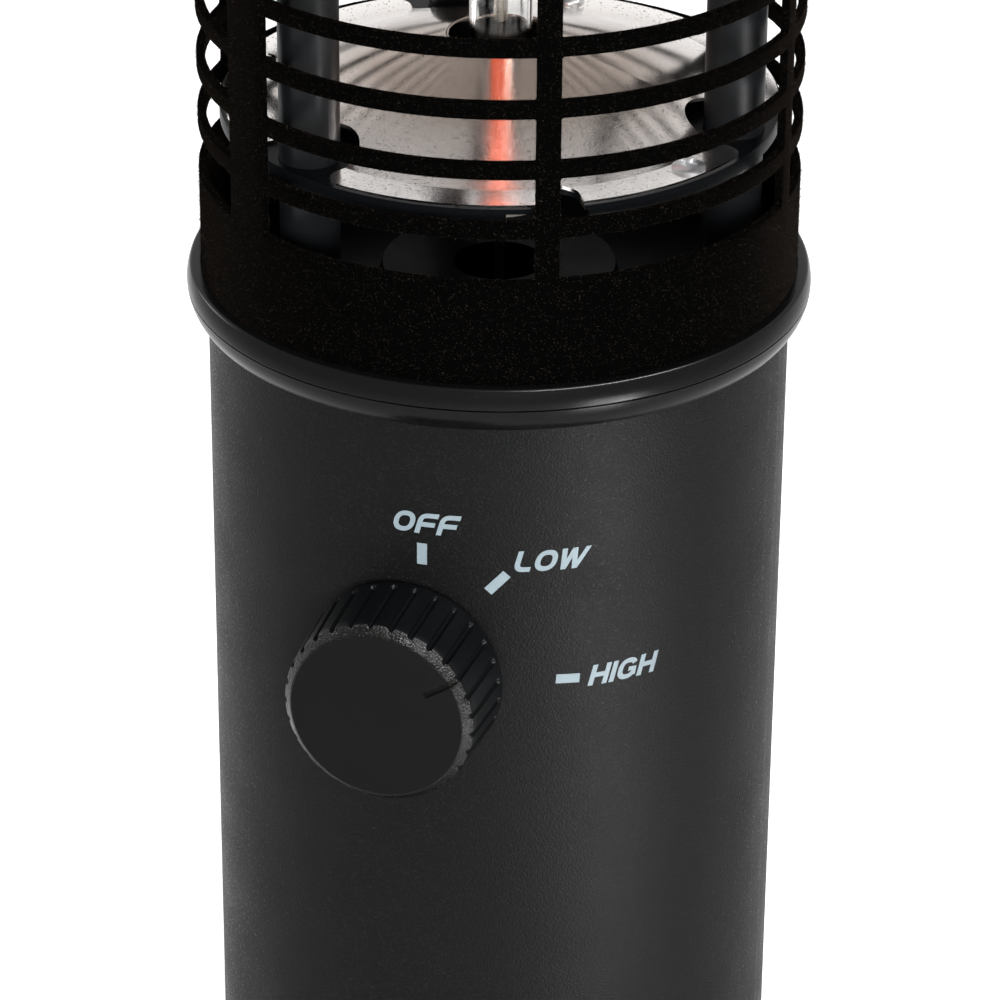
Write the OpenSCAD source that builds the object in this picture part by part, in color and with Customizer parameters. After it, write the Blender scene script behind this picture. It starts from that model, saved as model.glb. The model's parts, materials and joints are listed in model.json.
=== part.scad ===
// Free-standing electric patio heater: a weighted round base, a slim column with a rotary switch,
// and a lantern head where a quartz lamp stands between two reflectors behind a guard cage.
// Millimetres. The origin is the centre of the footprint on the ground, +Z is up, the knob faces -Y.
// Angles round the heater are counted from the knob's side (-Y) towards +X.

/* [Base] */
// Outer diameter of the base cover
base_d = 230; // [215:1:300]
// Height of the base cover
base_h = 25; // [20:1:40]
// Sheet thickness of the base cover and of the bottom cover
base_wall = 1.5; // [1:0.1:2.5]
// Radius of the base cover's shoulder
base_fillet = 12; // [5:1:16]
// Distance from the base cover's outside in to the ballast disc
ballast_inset = 17; // [15:0.5:20]
// Diameter of the hole in the middle of the ballast
core_d = 56; // [48:1:70]
// Diameter of a rubber foot
foot_d = 24; // [16:1:28]
// Height of a rubber foot
foot_h = 5; // [4.5:0.5:10]
// Distance from the base cover's outside in to the circle that the feet stand on
foot_inset = 31; // [31:1:37]

/* [Tip-over switch] */
// Diameter of the plunger's stem
plunger_d = 8; // [6:0.5:9]
// How far the plunger drops when the heater is lifted
plunger_travel = 4; // [2:0.5:5]
// Outer diameter of the plunger's guide barrel
barrel_d = 19; // [18.5:0.5:24]
// Height of the guide barrel
barrel_h = 19.5; // [17:0.5:24]
// Turns of the plunger's return spring
spring_turns = 5; // [3:1:7]
// Wire diameter of the return spring
spring_wire = 0.9; // [0.6:0.1:1.1]

/* [Column] */
// Outer diameter of the column
column_d = 140; // [136:0.5:142]
// Wall thickness of the column
column_wall = 1.2; // [0.8:0.1:2]
// Length of the column tube
column_h = 303; // [240:1:420]
// Distance from the column's outside in to the circle of column bolts
bolt_inset = 14; // [12:0.5:17]
// Diameter of a column bolt
bolt_d = 6; // [5:0.5:8]
// Thickness of the tapped clamp ring inside the column's foot
clamp_t = 4; // [3:0.5:8]
// Height of the cable gland above the column's foot
gland_rise = 45; // [30:1:70]
// Bore of the cable gland
gland_bore = 7.2; // [6:0.1:9]

/* [Knob and switch] */
// Distance from the column's top edge down to the knob's axis
knob_drop = 70.5; // [60:0.5:110]
// Diameter of the knob at its rear edge
knob_d = 48; // [44:0.5:56]
// Diameter of the knob's flat face
knob_face_d = 42; // [36:0.5:42.5]
// Depth of the knob
knob_depth = 21.7; // [20:0.1:30]
// Gap between the knob's rear edge and the column's crown
knob_gap = 1.5; // [1:0.1:3]
// Number of grip grooves round the knob
knob_grooves = 29; // [16:1:36]
// Direction of the pointer, clockwise from straight up
pointer_angle = 57.3; // [0:0.1:100]
// Diameter of the switch shaft
shaft_d = 6; // [5:0.5:6.5]
// Width and height of the switch body
switch_w = 34; // [26:1:44]
// Depth of the switch body
switch_depth = 16; // [12:1:24]

/* [Collars] */
// How far the collars stand out past the column
collar_overhang = 5; // [4.5:0.1:8]
// Height of the collar band on the cage
collar_h = 5.1; // [4:0.1:8]
// Height of the collar band on the column
skirt_h = 5.7; // [4:0.1:8]

/* [Guard cage] */
// How far the cage stands out past the column
cage_overhang = 1.5; // [1:0.1:2]
// Thickness of the flocked cage sheet
cage_t = 2; // [1.2:0.1:2.4]
// Height of the closed band at each end of the cage
band_h = 29.9; // [24:0.1:40]
// Rows of slots
slot_rows = 16; // [8:1:24]
// Height of a slot
slot_h = 10.3; // [6:0.1:16]
// Height of the bar between two rows
bar_h = 4.2; // [2:0.1:8]
// Upright bars round the cage
upright_count = 6; // [3:1:10]
// Width of an upright bar
upright_w = 5.6; // [3:0.1:10]
// Width of the upright that covers the sheet's seam
seam_w = 14; // [8:0.1:24]
// Angle of the first upright
upright_angle = 26; // [0:1:59]

/* [Posts] */
// Outer diameter of a post
post_d = 14.1; // [13.5:0.1:14.4]
// Bore of a post
post_bore = 10.4; // [9.6:0.1:11]
// Distance from the column's outside in to the circle that the posts stand on
post_inset = 12.5; // [12.4:0.1:15]
// Angle of the first post
post_angle = 88; // [80:1:95]

/* [Reflectors and pans] */
// Distance from the column's outside in to a reflector's edge
reflector_inset = 4.3; // [4:0.1:4.7]
// Width of the reflector's flat rim, up to the crease where its cone starts
rim_w = 8.2; // [8.1:0.1:10.7]
// Rise of the reflector's cone above its rim
cone_rise = 14.9; // [10:0.1:20]
// Diameter of the hole in the reflector's middle
reflector_hole_d = 24.6; // [22:0.1:30]
// Thickness of the reflector sheet
reflector_t = 0.8; // [0.5:0.1:1.2]
// Radius of the notch round a post
notch_r = 11.5; // [9:0.1:13]
// Radius of the small notch in the middle of each lobe
small_notch_r = 5.2; // [3:0.1:8]
// Corner radius of a lobe
lobe_fillet = 5; // [2:0.1:8]
// Distance from the column's outside in to a pan's edge
pan_inset = 3.7; // [2:0.1:4]
// Sheet thickness of a pan
pan_t = 1.2; // [0.8:0.1:1.5]
// Depth of a pan's turned lip
pan_lip = 3.4; // [2:0.1:6]
// Height of a pan above the plate that carries the posts
pan_rise = 46.4; // [42:0.1:60]

/* [Lamp] */
// Outer diameter of the quartz tube
lamp_d = 15; // [12:0.1:15.4]
// Wall of the quartz tube
lamp_wall = 1.2; // [0.8:0.1:2]
// Diameter of the filament coil at the middle of its wire
coil_d = 6.8; // [4:0.1:8]
// Diameter of the filament wire
coil_wire = 1.3; // [0.8:0.1:1.6]
// Curls of the filament
coil_turns = 44; // [20:1:48]
// Diameter of a lampholder
holder_d = 25; // [23:0.5:28]
// Length of a lampholder behind its pan
holder_l = 26; // [22:0.5:30]

/* [Head] */
// Thickness of the plates at the two ends of the posts
plate_t = 1.1; // [0.8:0.1:2]
// Height of the top cap
cap_h = 20; // [16:1:40]
// Radius of the top cap's edge
cap_fillet = 9; // [3:0.5:12]

/* [Hidden] */
$fn = 96;
cut = 1;
fit = 0.1;
slip = 0.2;
loose = 0.4;
running = 0.05;
turns_of_four = [0, 90, 180, 270];
hex_sides = 6;
head_ratio = 2;

satin_black = "#26272a";
flock_black = "#0c0b0a";
plastic_black = "#1e1f21";
slate = "#3a4046";
bright_sheet = "#d2d4d6";
steel = "#9a9da1";
iron = "#3b3b3c";
rubber_black = "#161616";
ceramic_white = "#e6e1d6";
quartz_clear = "#dfe8ee80";
glowing = "#ff7a24";
brass_yellow = "#c9a54a";
lead_grey = "#70757a";

// Levels, from the ground up
z_bottom = foot_h;
z_ballast = z_bottom + base_wall;
z_column = z_bottom + base_h;
ballast_h = base_h - 2 * base_wall;
z_clamp = z_column + column_wall;
z_clamp_top = z_clamp + clamp_t;
z_column_top = z_column + column_h;
z_plate = z_column_top + plate_t;
shelf_t = 1;
z_cage = z_plate + shelf_t;
slot_pitch = slot_h + bar_h;
cage_h = 2 * band_h + slot_rows * slot_pitch - bar_h;
z_middle = z_cage + cage_h / 2;
z_head_plate = z_cage + cage_h + shelf_t;
z_cap = z_head_plate + plate_t;
z_pan = z_plate + pan_rise;
z_rim = z_pan + reflector_t;
z_knob = z_column_top - knob_drop;
z_gland = z_column + gland_rise;

column_r = column_d / 2;
column_in_r = column_r - column_wall;
cage_d = column_d + 2 * cage_overhang;
cage_r = cage_d / 2;
collar_d = column_d + 2 * collar_overhang;
post_ring_r = column_r - post_inset;
post_r = post_d / 2;
pan_d = column_d - 2 * pan_inset;
pan_r = pan_d / 2;
reflector_d = column_d - 2 * reflector_inset;
crease_d = reflector_d - 2 * rim_w;
lobe_turn = -58.5;
lobe_angle = post_angle + lobe_turn;

// Base and its fasteners
ballast_d = base_d - 2 * ballast_inset;
foot_ring_r = base_d / 2 - foot_inset;
bolt_ring_r = column_r - bolt_inset;
bolt_head_r = bolt_d * 0.85;
bolt_head_h = bolt_d;
bolt_seat = 8;
flange_w = 22;
flange_in_r = column_r - flange_w;
base_hole_r = 22;
base_screw_r = 2;
base_screw_l = 14;
base_screw_inset = 27;
base_screw_ring_r = base_d / 2 - base_screw_inset;
screw_head_h = 2.2;
small_head_h = 1.6;
peg_r = 3;
foot_taper = 1;

// Tip-over switch
plunger_r = plunger_d / 2;
barrel_wall = 2;
barrel_flange_r = 16;
barrel_flange_t = 2;
barrel_roof_t = 2;
barrel_in_r = barrel_d / 2 - barrel_wall;
z_barrel_roof = z_ballast + barrel_flange_t + barrel_h - barrel_roof_t;
collar_t = 1.5;
plunger_collar_r = barrel_in_r - slip;
z_plunger_collar = z_ballast + barrel_flange_t + plunger_travel + slip;
z_spring = z_plunger_collar + collar_t;
spring_l = z_barrel_roof - z_spring;
spring_r = (plunger_r + barrel_in_r) / 2;
plunger_proud = 1;
z_plunger_top = z_barrel_roof + barrel_roof_t + plunger_proud;
button_r = 1.5;
button_h = 1;
micro_l = 20;
micro_w = 7;
micro_h = 10;
z_micro = z_plunger_top + slip + button_h;
micro_wall_t = 2;
micro_screw_r = 1.2;
micro_screw_x = 6;
housing_screw_r = 1.5;
housing_screw_x = 12.8;

// Cable gland and terminal block
gland_flange_r = 11;
gland_flange_t = 4;
gland_nose_r = 9;
gland_tip_r = 7;
gland_nose_l = 12;
gland_thread_r = 7.6;
gland_in_l = 13;
gland_nut_t = 5;
gland_nut_r = 11;
bracket_w = 36;
bracket_foot = 12;
bracket_t = 1.5;
bracket_h = 74;
bracket_inset = 20;
bracket_y = column_r - bracket_inset;
bracket_screw_x = 12;
bracket_screw_r = 1.6;
block_w = 34;
block_depth = 16;
block_h = 22;
block_rise = 50;
cable_room = 2.4;
terminal_x = 10;
terminal_r = 2.4;
terminal_recess = 1;
terminal_slot_w = 0.8;
terminal_slot_depth = 1;

// Knob and rotary switch, as distances from the column's axis
shaft_r = shaft_d / 2;
bush_wall = 2;
bush_r = shaft_r + bush_wall;
bush_shoulder_r = 9;
shoulder_face = sqrt(pow(column_in_r, 2) - pow(bush_shoulder_r, 2)) - running;
shoulder_l = 8;
switch_face = shoulder_face - shoulder_l;
switch_nut_r = 8;
switch_nut_t = 1.4;
bush_end = column_r + switch_nut_t + loose;
knob_rear = column_r + knob_gap;
knob_front = knob_rear + knob_depth;
knob_face_t = 3.4;
knob_chamfer = 2.2;
knob_taper = 0.95;
knob_skirt_t = 3.2;
boss_wall = 3.5;
boss_r = shaft_r + boss_wall;
boss_rear = bush_end + 2 * loose;
knob_floor = knob_front - knob_face_t;
shaft_end = knob_floor - loose;
flat_depth = 1;
clip_l = 10;
groove_w = 1.5;
groove_depth = 1.1;
groove_stop = 2.2;
pointer_w = 1.5;
pointer_depth = 0.7;
pointer_in_r = 13.5;

// Plates, posts and pans
plate_flange_l = 15;
plate_collar_r = 28;
plate_collar_rise = 3.5;
plate_hole_r = 11;
cutout_r = 9;
cutout_cap_r = 7;
cutout_h = 7;
cutout_y = 34;
nipple_r = post_bore / 2 - fit;
nipple_bore_r = 3.2;
nipple_in = 14;
nipple_down = 12;
nipple_nut_r = 8.4;
nipple_nut_t = 5;
post_plug = 16;
post_bolt_r = 3;
post_bolt_l = 12;
post_bolt_head_r = 5;
post_bolt_head_h = 3.5;
lead_exit_drop = 12;
lead_hole_r = 3;
clip_ring_r = 9.6;
clip_ring_t = 1.5;
reflector_screw_r = 1.7;
reflector_head_r = 3.9;
reflector_head_h = 1.7;
reflector_screw_l = 9;
reflector_screw_ring_r = (crease_d / 2 + reflector_d / 2) / 2;
reflector_screw_angle = -26.5;
small_notch_in = 4.2;
lip_gap_left = 12.6;
lip_gap_right = 6.4;
small_notch_ring_r = reflector_d / 2 - small_notch_in;

// Lamp
lamp_r = lamp_d / 2;
holder_r = holder_d / 2;
holder_flange_w = 5.5;
holder_flange_r = holder_r + holder_flange_w;
holder_flange_t = 2.5;
holder_neck_l = 9;
holder_floor = 6;
lamp_base_wall = 1.2;
lamp_base_r = lamp_r + lamp_base_wall;
holder_neck_wall = 1.8;
holder_neck_r = lamp_base_r + holder_neck_wall;
lamp_base_l = 22;
lamp_seat = 13;
z_holder = z_pan - holder_l;
z_lamp_base = z_holder + holder_floor;
z_lamp = z_lamp_base + lamp_seat + fit;
holder_screw_x = holder_r + holder_flange_w / 2;
holder_screw_r = 1.3;
holder_screw_end = 2;
crimp_r = 1.6;
crimp_l = 10;
lead_rod_r = 0.9;
crimp_rise = 2;
z_crimp = z_rim + cone_rise + crimp_rise;
z_coil = z_crimp + crimp_l;
coil_l = 2 * (z_middle - z_coil);
coil_sides = 6;
wire_r = 1.2;
wire_sides = 8;
wire_climb = 60;
wire_gap = 0.3;

// Head
stud_r = 3;
stud_head_r = 5;
stud_head_h = 3;
cap_nut_r = 6;
cap_nut_h = 5;
cap_dome_r = 4.8;
stud_short = 1.5;

// Places on circles, and the mirror that makes the head's upper end from its lower end
module at(angle, r) rotate([0, 0, angle]) translate([0, -r, 0]) children();
module at_posts(r = post_ring_r) for (i = [0:2]) at(post_angle + 120 * i, r) children();
module at_lobes(r) for (i = [0:2]) at(lobe_angle + 120 * i, r) children();
module at_top() translate([0, 0, 2 * z_middle]) mirror([0, 0, 1]) children();
module outward(z) translate([0, 0, z]) rotate([90, 0, 0]) children();

module disc(r, z, h) translate([0, 0, z]) cylinder(r = r, h = h);

module pipe(r_out, r_in, z, h) difference() {
    disc(r_out, z, h);
    disc(r_in, z - cut, h + 2 * cut);
}

// Half profile of a disc with a rounded upper edge
module slab_profile(r, h, fillet) {
    square([r - fillet, h]);
    square([r, h - fillet]);
    translate([r - fillet, h - fillet]) circle(fillet);
}

// A screw that points down from a head seated at z
module screw(r, l, head_r, head_h, z) {
    disc(head_r, z, head_h);
    disc(r, z - l, l + head_h / 2);
}

// A tube swept along points, closed at both ends
function unit(v) = v / norm(v);
function heading(p, i) = unit(p[min(i + 1, len(p) - 1)] - p[max(i - 1, 0)]);
function across(v, t) = unit(v - t * (v * t));
function side_vectors(p, start) = [
    for (i = 0, n = across(start, heading(p, 0)); i < len(p);
        i = i + 1, n = i < len(p) ? across(n, heading(p, i)) : n) n];

module sweep(p, r, sides, start) {
    n = side_vectors(p, start);
    rings = len(p);
    points = [for (i = [0:rings - 1]) let (b = cross(heading(p, i), n[i])) for (k = [0:sides - 1])
        p[i] + r * (cos(360 * k / sides) * n[i] + sin(360 * k / sides) * b)];
    skin = [for (i = [0:rings - 2]) for (k = [0:sides - 1])
        let (a = i * sides + k, b = i * sides + (k + 1) % sides)
        for (face = [[a, a + sides, b], [b, a + sides, b + sides]]) face];
    first_cap = [for (k = [1:sides - 2]) [0, k, k + 1]];
    last = (rings - 1) * sides;
    last_cap = [for (k = [1:sides - 2]) [last, last + k + 1, last + k]];
    polyhedron(points, concat(skin, first_cap, last_cap));
}

// A smooth curve through hand-chosen points
curve_steps = 4;
function curve_point(a, b, c, d, t) = 0.5 * (2 * b + (c - a) * t + (2 * a - 5 * b + 4 * c - d) * t * t
    + (3 * b - a - 3 * c + d) * t * t * t);
function curve(p) = concat([for (i = [0:len(p) - 2]) for (j = [0:curve_steps - 1])
    curve_point(p[max(i - 1, 0)], p[i], p[i + 1], p[min(i + 2, len(p) - 1)], j / curve_steps)],
    [p[len(p) - 1]]);

// A coil on the Z axis whose two ends run straight along the axis
curl_rings = 8;
function ease(t) = t <= 0 ? 0 : t >= 1 ? 1 : t * t * (3 - 2 * t);
function swell(i, n) = min(ease(i / curl_rings), ease((n - i) / curl_rings));
function coil_path(z, l, r, turns, wire) = let (n = turns * curl_rings) concat(
    [[0, 0, z], [0, 0, z + wire]],
    [for (i = [1:n - 1]) let (a = 360 * i / curl_rings, s = r * swell(i, n))
        [s * cos(a), s * sin(a), z + wire + (l - 2 * wire) * i / n]],
    [[0, 0, z + l - wire], [0, 0, z + l]]);
function least_gap(p, wire, apart) = min([for (i = [0:len(p) - 1 - apart]) for (j = [i + apart:len(p) - 1])
    norm(p[i] - p[j])]) - wire;

// Base

module rubber_feet() color(rubber_black) for (a = turns_of_four) at(a + 45, foot_ring_r) {
    cylinder(r1 = foot_d / 2 - foot_taper, r2 = foot_d / 2, h = foot_h);
    disc(peg_r, foot_h - cut, base_wall + cut - fit);
}

module bottom_cover() color(satin_black) difference() {
    disc(base_d / 2 - base_wall - slip, z_bottom, base_wall);
    disc(plunger_r + loose, 0, z_column);
    for (a = turns_of_four) {
        at(a + 45, foot_ring_r) disc(peg_r + fit, 0, z_column);
        at(a, base_screw_ring_r) disc(base_screw_r + fit, 0, z_column);
    }
    for (x = [-1, 1]) translate([x * housing_screw_x, 0, 0]) disc(housing_screw_r + fit, 0, z_column);
}

module bottom_screws() color(steel) for (a = turns_of_four) at(a, base_screw_ring_r) {
    disc(base_screw_r * head_ratio, z_bottom - screw_head_h, screw_head_h);
    disc(base_screw_r, z_bottom - cut, base_screw_l + cut);
}

module ballast_disc() color(iron) difference() {
    disc(ballast_d / 2, z_ballast, ballast_h);
    disc(core_d / 2, 0, z_column);
    for (a = turns_of_four) {
        at(a + 45, bolt_ring_r) {
            disc(bolt_d / 2 + slip, 0, z_column);
            disc(bolt_head_r + loose, 0, z_ballast + bolt_seat);
        }
        at(a, base_screw_ring_r) disc(base_screw_r + running, 0, z_bottom + base_screw_l + slip);
    }
}

module base_cover() color(satin_black) difference() {
    translate([0, 0, z_bottom]) rotate_extrude() difference() {
        slab_profile(base_d / 2, base_h, base_fillet);
        translate([0, -cut]) slab_profile(base_d / 2 - base_wall, base_h - base_wall + cut,
            base_fillet - base_wall);
        square([base_hole_r, base_h + cut]);
    }
    for (a = turns_of_four) at(a + 45, bolt_ring_r) disc(bolt_d / 2 + slip, 0, z_column + cut);
}

module column_bolts() color(steel) for (a = turns_of_four) at(a + 45, bolt_ring_r) {
    disc(bolt_head_r, z_ballast + bolt_seat - bolt_head_h, bolt_head_h);
    disc(bolt_d / 2, z_ballast + bolt_seat - cut, z_clamp_top - z_ballast - bolt_seat + cut - fit);
}

module clamp_ring() color(steel) difference() {
    pipe(column_in_r - loose, flange_in_r, z_clamp, clamp_t);
    for (a = turns_of_four) at(a + 45, bolt_ring_r) disc(bolt_d / 2 + running, 0, z_column_top);
    for (x = [-1, 1]) translate([x * bracket_screw_x, bracket_y + bracket_foot / 2 + bracket_t, 0])
        disc(bracket_screw_r + running, 0, z_column_top);
}

// Tip-over switch

module tip_housing() color(plastic_black) difference() {
    union() {
        disc(barrel_flange_r, z_ballast, barrel_flange_t);
        disc(barrel_d / 2, z_ballast, barrel_flange_t + barrel_h);
        translate([-barrel_in_r, micro_w / 2, z_barrel_roof])
            cube([2 * barrel_in_r, micro_wall_t, z_micro + micro_h - z_barrel_roof]);
    }
    disc(barrel_in_r, z_ballast + barrel_flange_t, barrel_h - barrel_roof_t);
    disc(plunger_r + running, 0, z_column_top);
    for (x = [-1, 1]) translate([x * housing_screw_x, 0, 0]) disc(housing_screw_r + running, 0, z_column);
    for (x = [-1, 1]) translate([x * micro_screw_x, 0, z_micro + micro_h / 2]) rotate([90, 0, 0])
        translate([0, 0, -micro_w]) cylinder(r = micro_screw_r + running, h = micro_w);
}

module tip_housing_screws() color(steel) for (x = [-1, 1]) translate([x * housing_screw_x, 0, 0]) {
    disc(housing_screw_r * head_ratio, z_bottom - screw_head_h, screw_head_h);
    disc(housing_screw_r, z_bottom - cut, base_wall + barrel_flange_t + cut);
}

module tip_plunger() color(rubber_black) {
    disc(plunger_r, 0, z_plunger_top);
    disc(plunger_collar_r, z_plunger_collar, collar_t);
}

spring_gap = 0.05;
spring_rise = spring_l - spring_wire - 2 * spring_gap;
spring_path = [for (i = [0:spring_turns * curl_rings]) let (a = 360 * i / curl_rings)
    [spring_r * cos(a), spring_r * sin(a),
        z_spring + spring_gap + spring_wire / 2 + spring_rise * i / (spring_turns * curl_rings)]];
module tip_spring() color(steel) {
    echo(spring_least_gap = least_gap(spring_path, spring_wire, curl_rings / 2 + 1));
    sweep(spring_path, spring_wire / 2, coil_sides, [0, 0, 1]);
}

module tip_microswitch() color(plastic_black) {
    difference() {
        translate([-micro_l / 2, -micro_w / 2, z_micro]) cube([micro_l, micro_w, micro_h]);
        for (x = [-1, 1]) translate([x * micro_screw_x, micro_w, z_micro + micro_h / 2]) rotate([90, 0, 0])
            cylinder(r = micro_screw_r + running, h = 2 * micro_w);
    }
    disc(button_r, z_micro - button_h, button_h + cut);
}

module tip_switch_screws() color(steel) for (x = [-1, 1])
    translate([x * micro_screw_x, -micro_w / 2, z_micro + micro_h / 2]) rotate([90, 0, 0])
        screw(micro_screw_r, micro_w + micro_wall_t, micro_screw_r * head_ratio, small_head_h, 0);

// Column

module column_tube() color(satin_black) difference() {
    pipe(column_r, column_in_r, z_column, column_h);
    outward(z_knob) cylinder(r = bush_r + slip, h = column_d);
    outward(z_gland) translate([0, 0, -column_d]) cylinder(r = gland_thread_r + slip, h = column_d);
}

// Ring welded into the column's lower end, which the column bolts go through
module column_foot() color(satin_black) difference() {
    pipe(column_in_r - running, flange_in_r, z_column, column_wall);
    for (a = turns_of_four) at(a + 45, bolt_ring_r) disc(bolt_d / 2 + slip, 0, z_clamp + cut);
}

module cable_gland() color(plastic_black) outward(z_gland) mirror([0, 0, 1]) difference() {
    union() {
        translate([0, 0, column_r - gland_in_l]) cylinder(r = gland_thread_r, h = gland_in_l + cut);
        translate([0, 0, column_r]) cylinder(r = gland_flange_r, h = gland_flange_t, $fn = hex_sides);
        translate([0, 0, column_r + gland_flange_t - cut])
            cylinder(r1 = gland_nose_r, r2 = gland_tip_r, h = gland_nose_l + cut);
    }
    cylinder(r = gland_bore / 2, h = column_d);
}

gland_nut_face = sqrt(pow(column_in_r, 2) - pow(gland_nut_r, 2)) - running;
module gland_nut() color(plastic_black) outward(z_gland) mirror([0, 0, 1])
    translate([0, 0, gland_nut_face - gland_nut_t]) difference() {
        cylinder(r = gland_nut_r, h = gland_nut_t, $fn = hex_sides);
        translate([0, 0, -cut]) cylinder(r = gland_thread_r + running, h = gland_nut_t + 2 * cut);
    }

module terminal_bracket() color(steel) translate([-bracket_w / 2, bracket_y, z_clamp_top]) difference() {
    union() {
        cube([bracket_w, bracket_foot + bracket_t, bracket_t]);
        cube([bracket_w, bracket_t, bracket_h]);
    }
    for (x = [-1, 1]) translate([bracket_w / 2 + x * bracket_screw_x, bracket_foot / 2 + bracket_t, 0])
        disc(bracket_screw_r + fit, -cut, bracket_t + 2 * cut);
    translate([bracket_w / 2, -cut, z_gland - z_clamp_top]) rotate([-90, 0, 0])
        cylinder(r = gland_bore / 2 + cable_room, h = bracket_t + 2 * cut);
}

module bracket_screws() color(steel) for (x = [-1, 1])
    translate([x * bracket_screw_x, bracket_y + bracket_foot / 2 + bracket_t, 0])
        screw(bracket_screw_r, bracket_t + clamp_t - fit, bracket_screw_r * head_ratio, screw_head_h,
            z_clamp_top + bracket_t);

z_block = z_clamp_top + block_rise;
module terminal_block() color(ceramic_white) difference() {
    translate([-block_w / 2, bracket_y - block_depth, z_block]) cube([block_w, block_depth, block_h]);
    for (x = [-1:1]) translate([x * terminal_x, bracket_y, z_block + block_h / 2]) rotate([90, 0, 0])
        translate([0, 0, block_depth / 2]) cylinder(r = terminal_r + running, h = block_depth);
}

module terminal_screws() color(brass_yellow) for (x = [-1:1])
    translate([x * terminal_x, bracket_y - block_depth / 2, z_block + block_h / 2]) rotate([90, 0, 0])
        difference() {
            cylinder(r = terminal_r, h = block_depth / 2 - terminal_recess);
            translate([-terminal_r, -terminal_slot_w / 2,
                block_depth / 2 - terminal_recess - terminal_slot_depth])
                cube([2 * terminal_r, terminal_slot_w, block_depth]);
        }

module rotary_switch() color(plastic_black) outward(z_knob) difference() {
    union() {
        translate([-switch_w / 2, -switch_w / 2, switch_face - switch_depth])
            cube([switch_w, switch_w, switch_depth]);
        disc(bush_shoulder_r, switch_face - cut, shoulder_l + cut);
        disc(bush_r, switch_face - cut, bush_end - switch_face + cut);
    }
    disc(shaft_r + running, switch_face - switch_depth / 2 - slip, column_d);
}

module switch_nut() color(steel) outward(z_knob) difference() {
    translate([0, 0, column_r]) cylinder(r = switch_nut_r, h = switch_nut_t, $fn = hex_sides);
    disc(bush_r + running, 0, column_d);
}

// The shaft's flat and the clip on it lie opposite the pointer
module along_pointer() outward(z_knob) rotate([0, 0, -pointer_angle]) children();

module switch_shaft() color(steel) along_pointer() difference() {
    disc(shaft_r, switch_face - switch_depth / 2, shaft_end - switch_face + switch_depth / 2);
    translate([-shaft_r, -shaft_r, boss_rear]) cube([shaft_d, flat_depth, knob_depth]);
}

module knob_spring_clip() color(steel) along_pointer() intersection() {
    disc(shaft_r - running, shaft_end - clip_l, clip_l);
    translate([-shaft_r, -shaft_r, 0]) cube([shaft_d, flat_depth - running, column_d]);
}

module control_knob() color(plastic_black) along_pointer() difference() {
    rotate_extrude() polygon([
        [0, knob_floor], [shaft_r + running, knob_floor], [shaft_r + running, boss_rear],
        [boss_r, boss_rear], [boss_r, knob_floor], [knob_d / 2 - knob_skirt_t, knob_floor],
        [knob_d / 2 - knob_skirt_t, knob_rear], [knob_d / 2, knob_rear],
        [knob_d / 2 - knob_taper, knob_front - knob_chamfer], [knob_face_d / 2, knob_front],
        [0, knob_front]]);
    for (i = [0:knob_grooves - 1]) rotate([0, 0, 360 * i / knob_grooves])
        translate([-groove_w / 2, knob_d / 2 - knob_taper - groove_depth, knob_rear + groove_stop])
            cube([groove_w, knob_d, knob_depth]);
    translate([-pointer_w / 2, pointer_in_r, knob_front - pointer_depth])
        cube([pointer_w, knob_d, knob_depth]);
}

module thermal_cutout() color(steel) translate([0, cutout_y, z_column_top - cutout_h]) {
    cylinder(r = cutout_r, h = cutout_h / 2);
    cylinder(r = cutout_cap_r, h = cutout_h);
}

// Column top plate with a raised ring round its wire hole
module column_top_plate() color(satin_black) difference() {
    translate([0, 0, z_column_top]) rotate_extrude() polygon([
        [plate_hole_r, plate_collar_rise], [plate_collar_r - plate_t, plate_collar_rise],
        [plate_collar_r, 0], [column_in_r - loose - plate_t, 0],
        [column_in_r - loose - plate_t, -plate_flange_l], [column_in_r - loose, -plate_flange_l],
        [column_in_r - loose, 0], [column_r, 0], [column_r, plate_t],
        [plate_collar_r + plate_t, plate_t], [plate_collar_r, plate_t + plate_collar_rise],
        [plate_hole_r, plate_t + plate_collar_rise]]);
    at_posts() disc(nipple_r + fit, 0, z_middle);
}

// Collars: a convex bead at each end of the cage, parted into a band on the column and one on the cage
collar_bulge_r = 10;
parting_gap = 0.2;
shelf_w = 4;
shelf_in_r = column_r - shelf_w;
module bead_profile(r_in, z, h) intersection() {
    translate([collar_d / 2 - collar_bulge_r, z_cage]) circle(collar_bulge_r);
    translate([r_in, z]) square([collar_d, h]);
}

module column_collar_shape() rotate_extrude() {
    bead_profile(column_r + slip, z_plate - skirt_h, skirt_h);
    translate([shelf_in_r, z_plate]) square([cage_r - shelf_in_r, shelf_t]);
    translate([column_r + slip, z_plate - shelf_t]) square([cage_r - column_r - slip, 2 * shelf_t]);
}

module cage_collar_shape() rotate_extrude() bead_profile(cage_r + slip, z_plate + parting_gap, collar_h);

module column_collar() color(plastic_black) column_collar_shape();
module cage_foot_collar() color(plastic_black) cage_collar_shape();
module cage_head_collar() color(plastic_black) at_top() cage_collar_shape();
module cap_collar() color(plastic_black) at_top() column_collar_shape();

// Lantern frame

module support_post(i) color(slate) at(post_angle + 120 * i, post_ring_r) difference() {
    disc(post_r, z_plate, z_head_plate - z_plate);
    disc(post_bore / 2, z_plate - cut, z_head_plate - z_plate - post_plug + cut);
    disc(post_bolt_r + running, z_middle, cage_h);
    if (i == 1) translate([0, 0, z_head_plate - post_plug - lead_exit_drop]) rotate([-90, 0, 0])
        cylinder(r = lead_hole_r, h = post_d);
}

module post_nipples() color(steel) at_posts()
    pipe(nipple_r, nipple_bore_r, z_plate - plate_t - nipple_down, plate_t + nipple_down + nipple_in);

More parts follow.
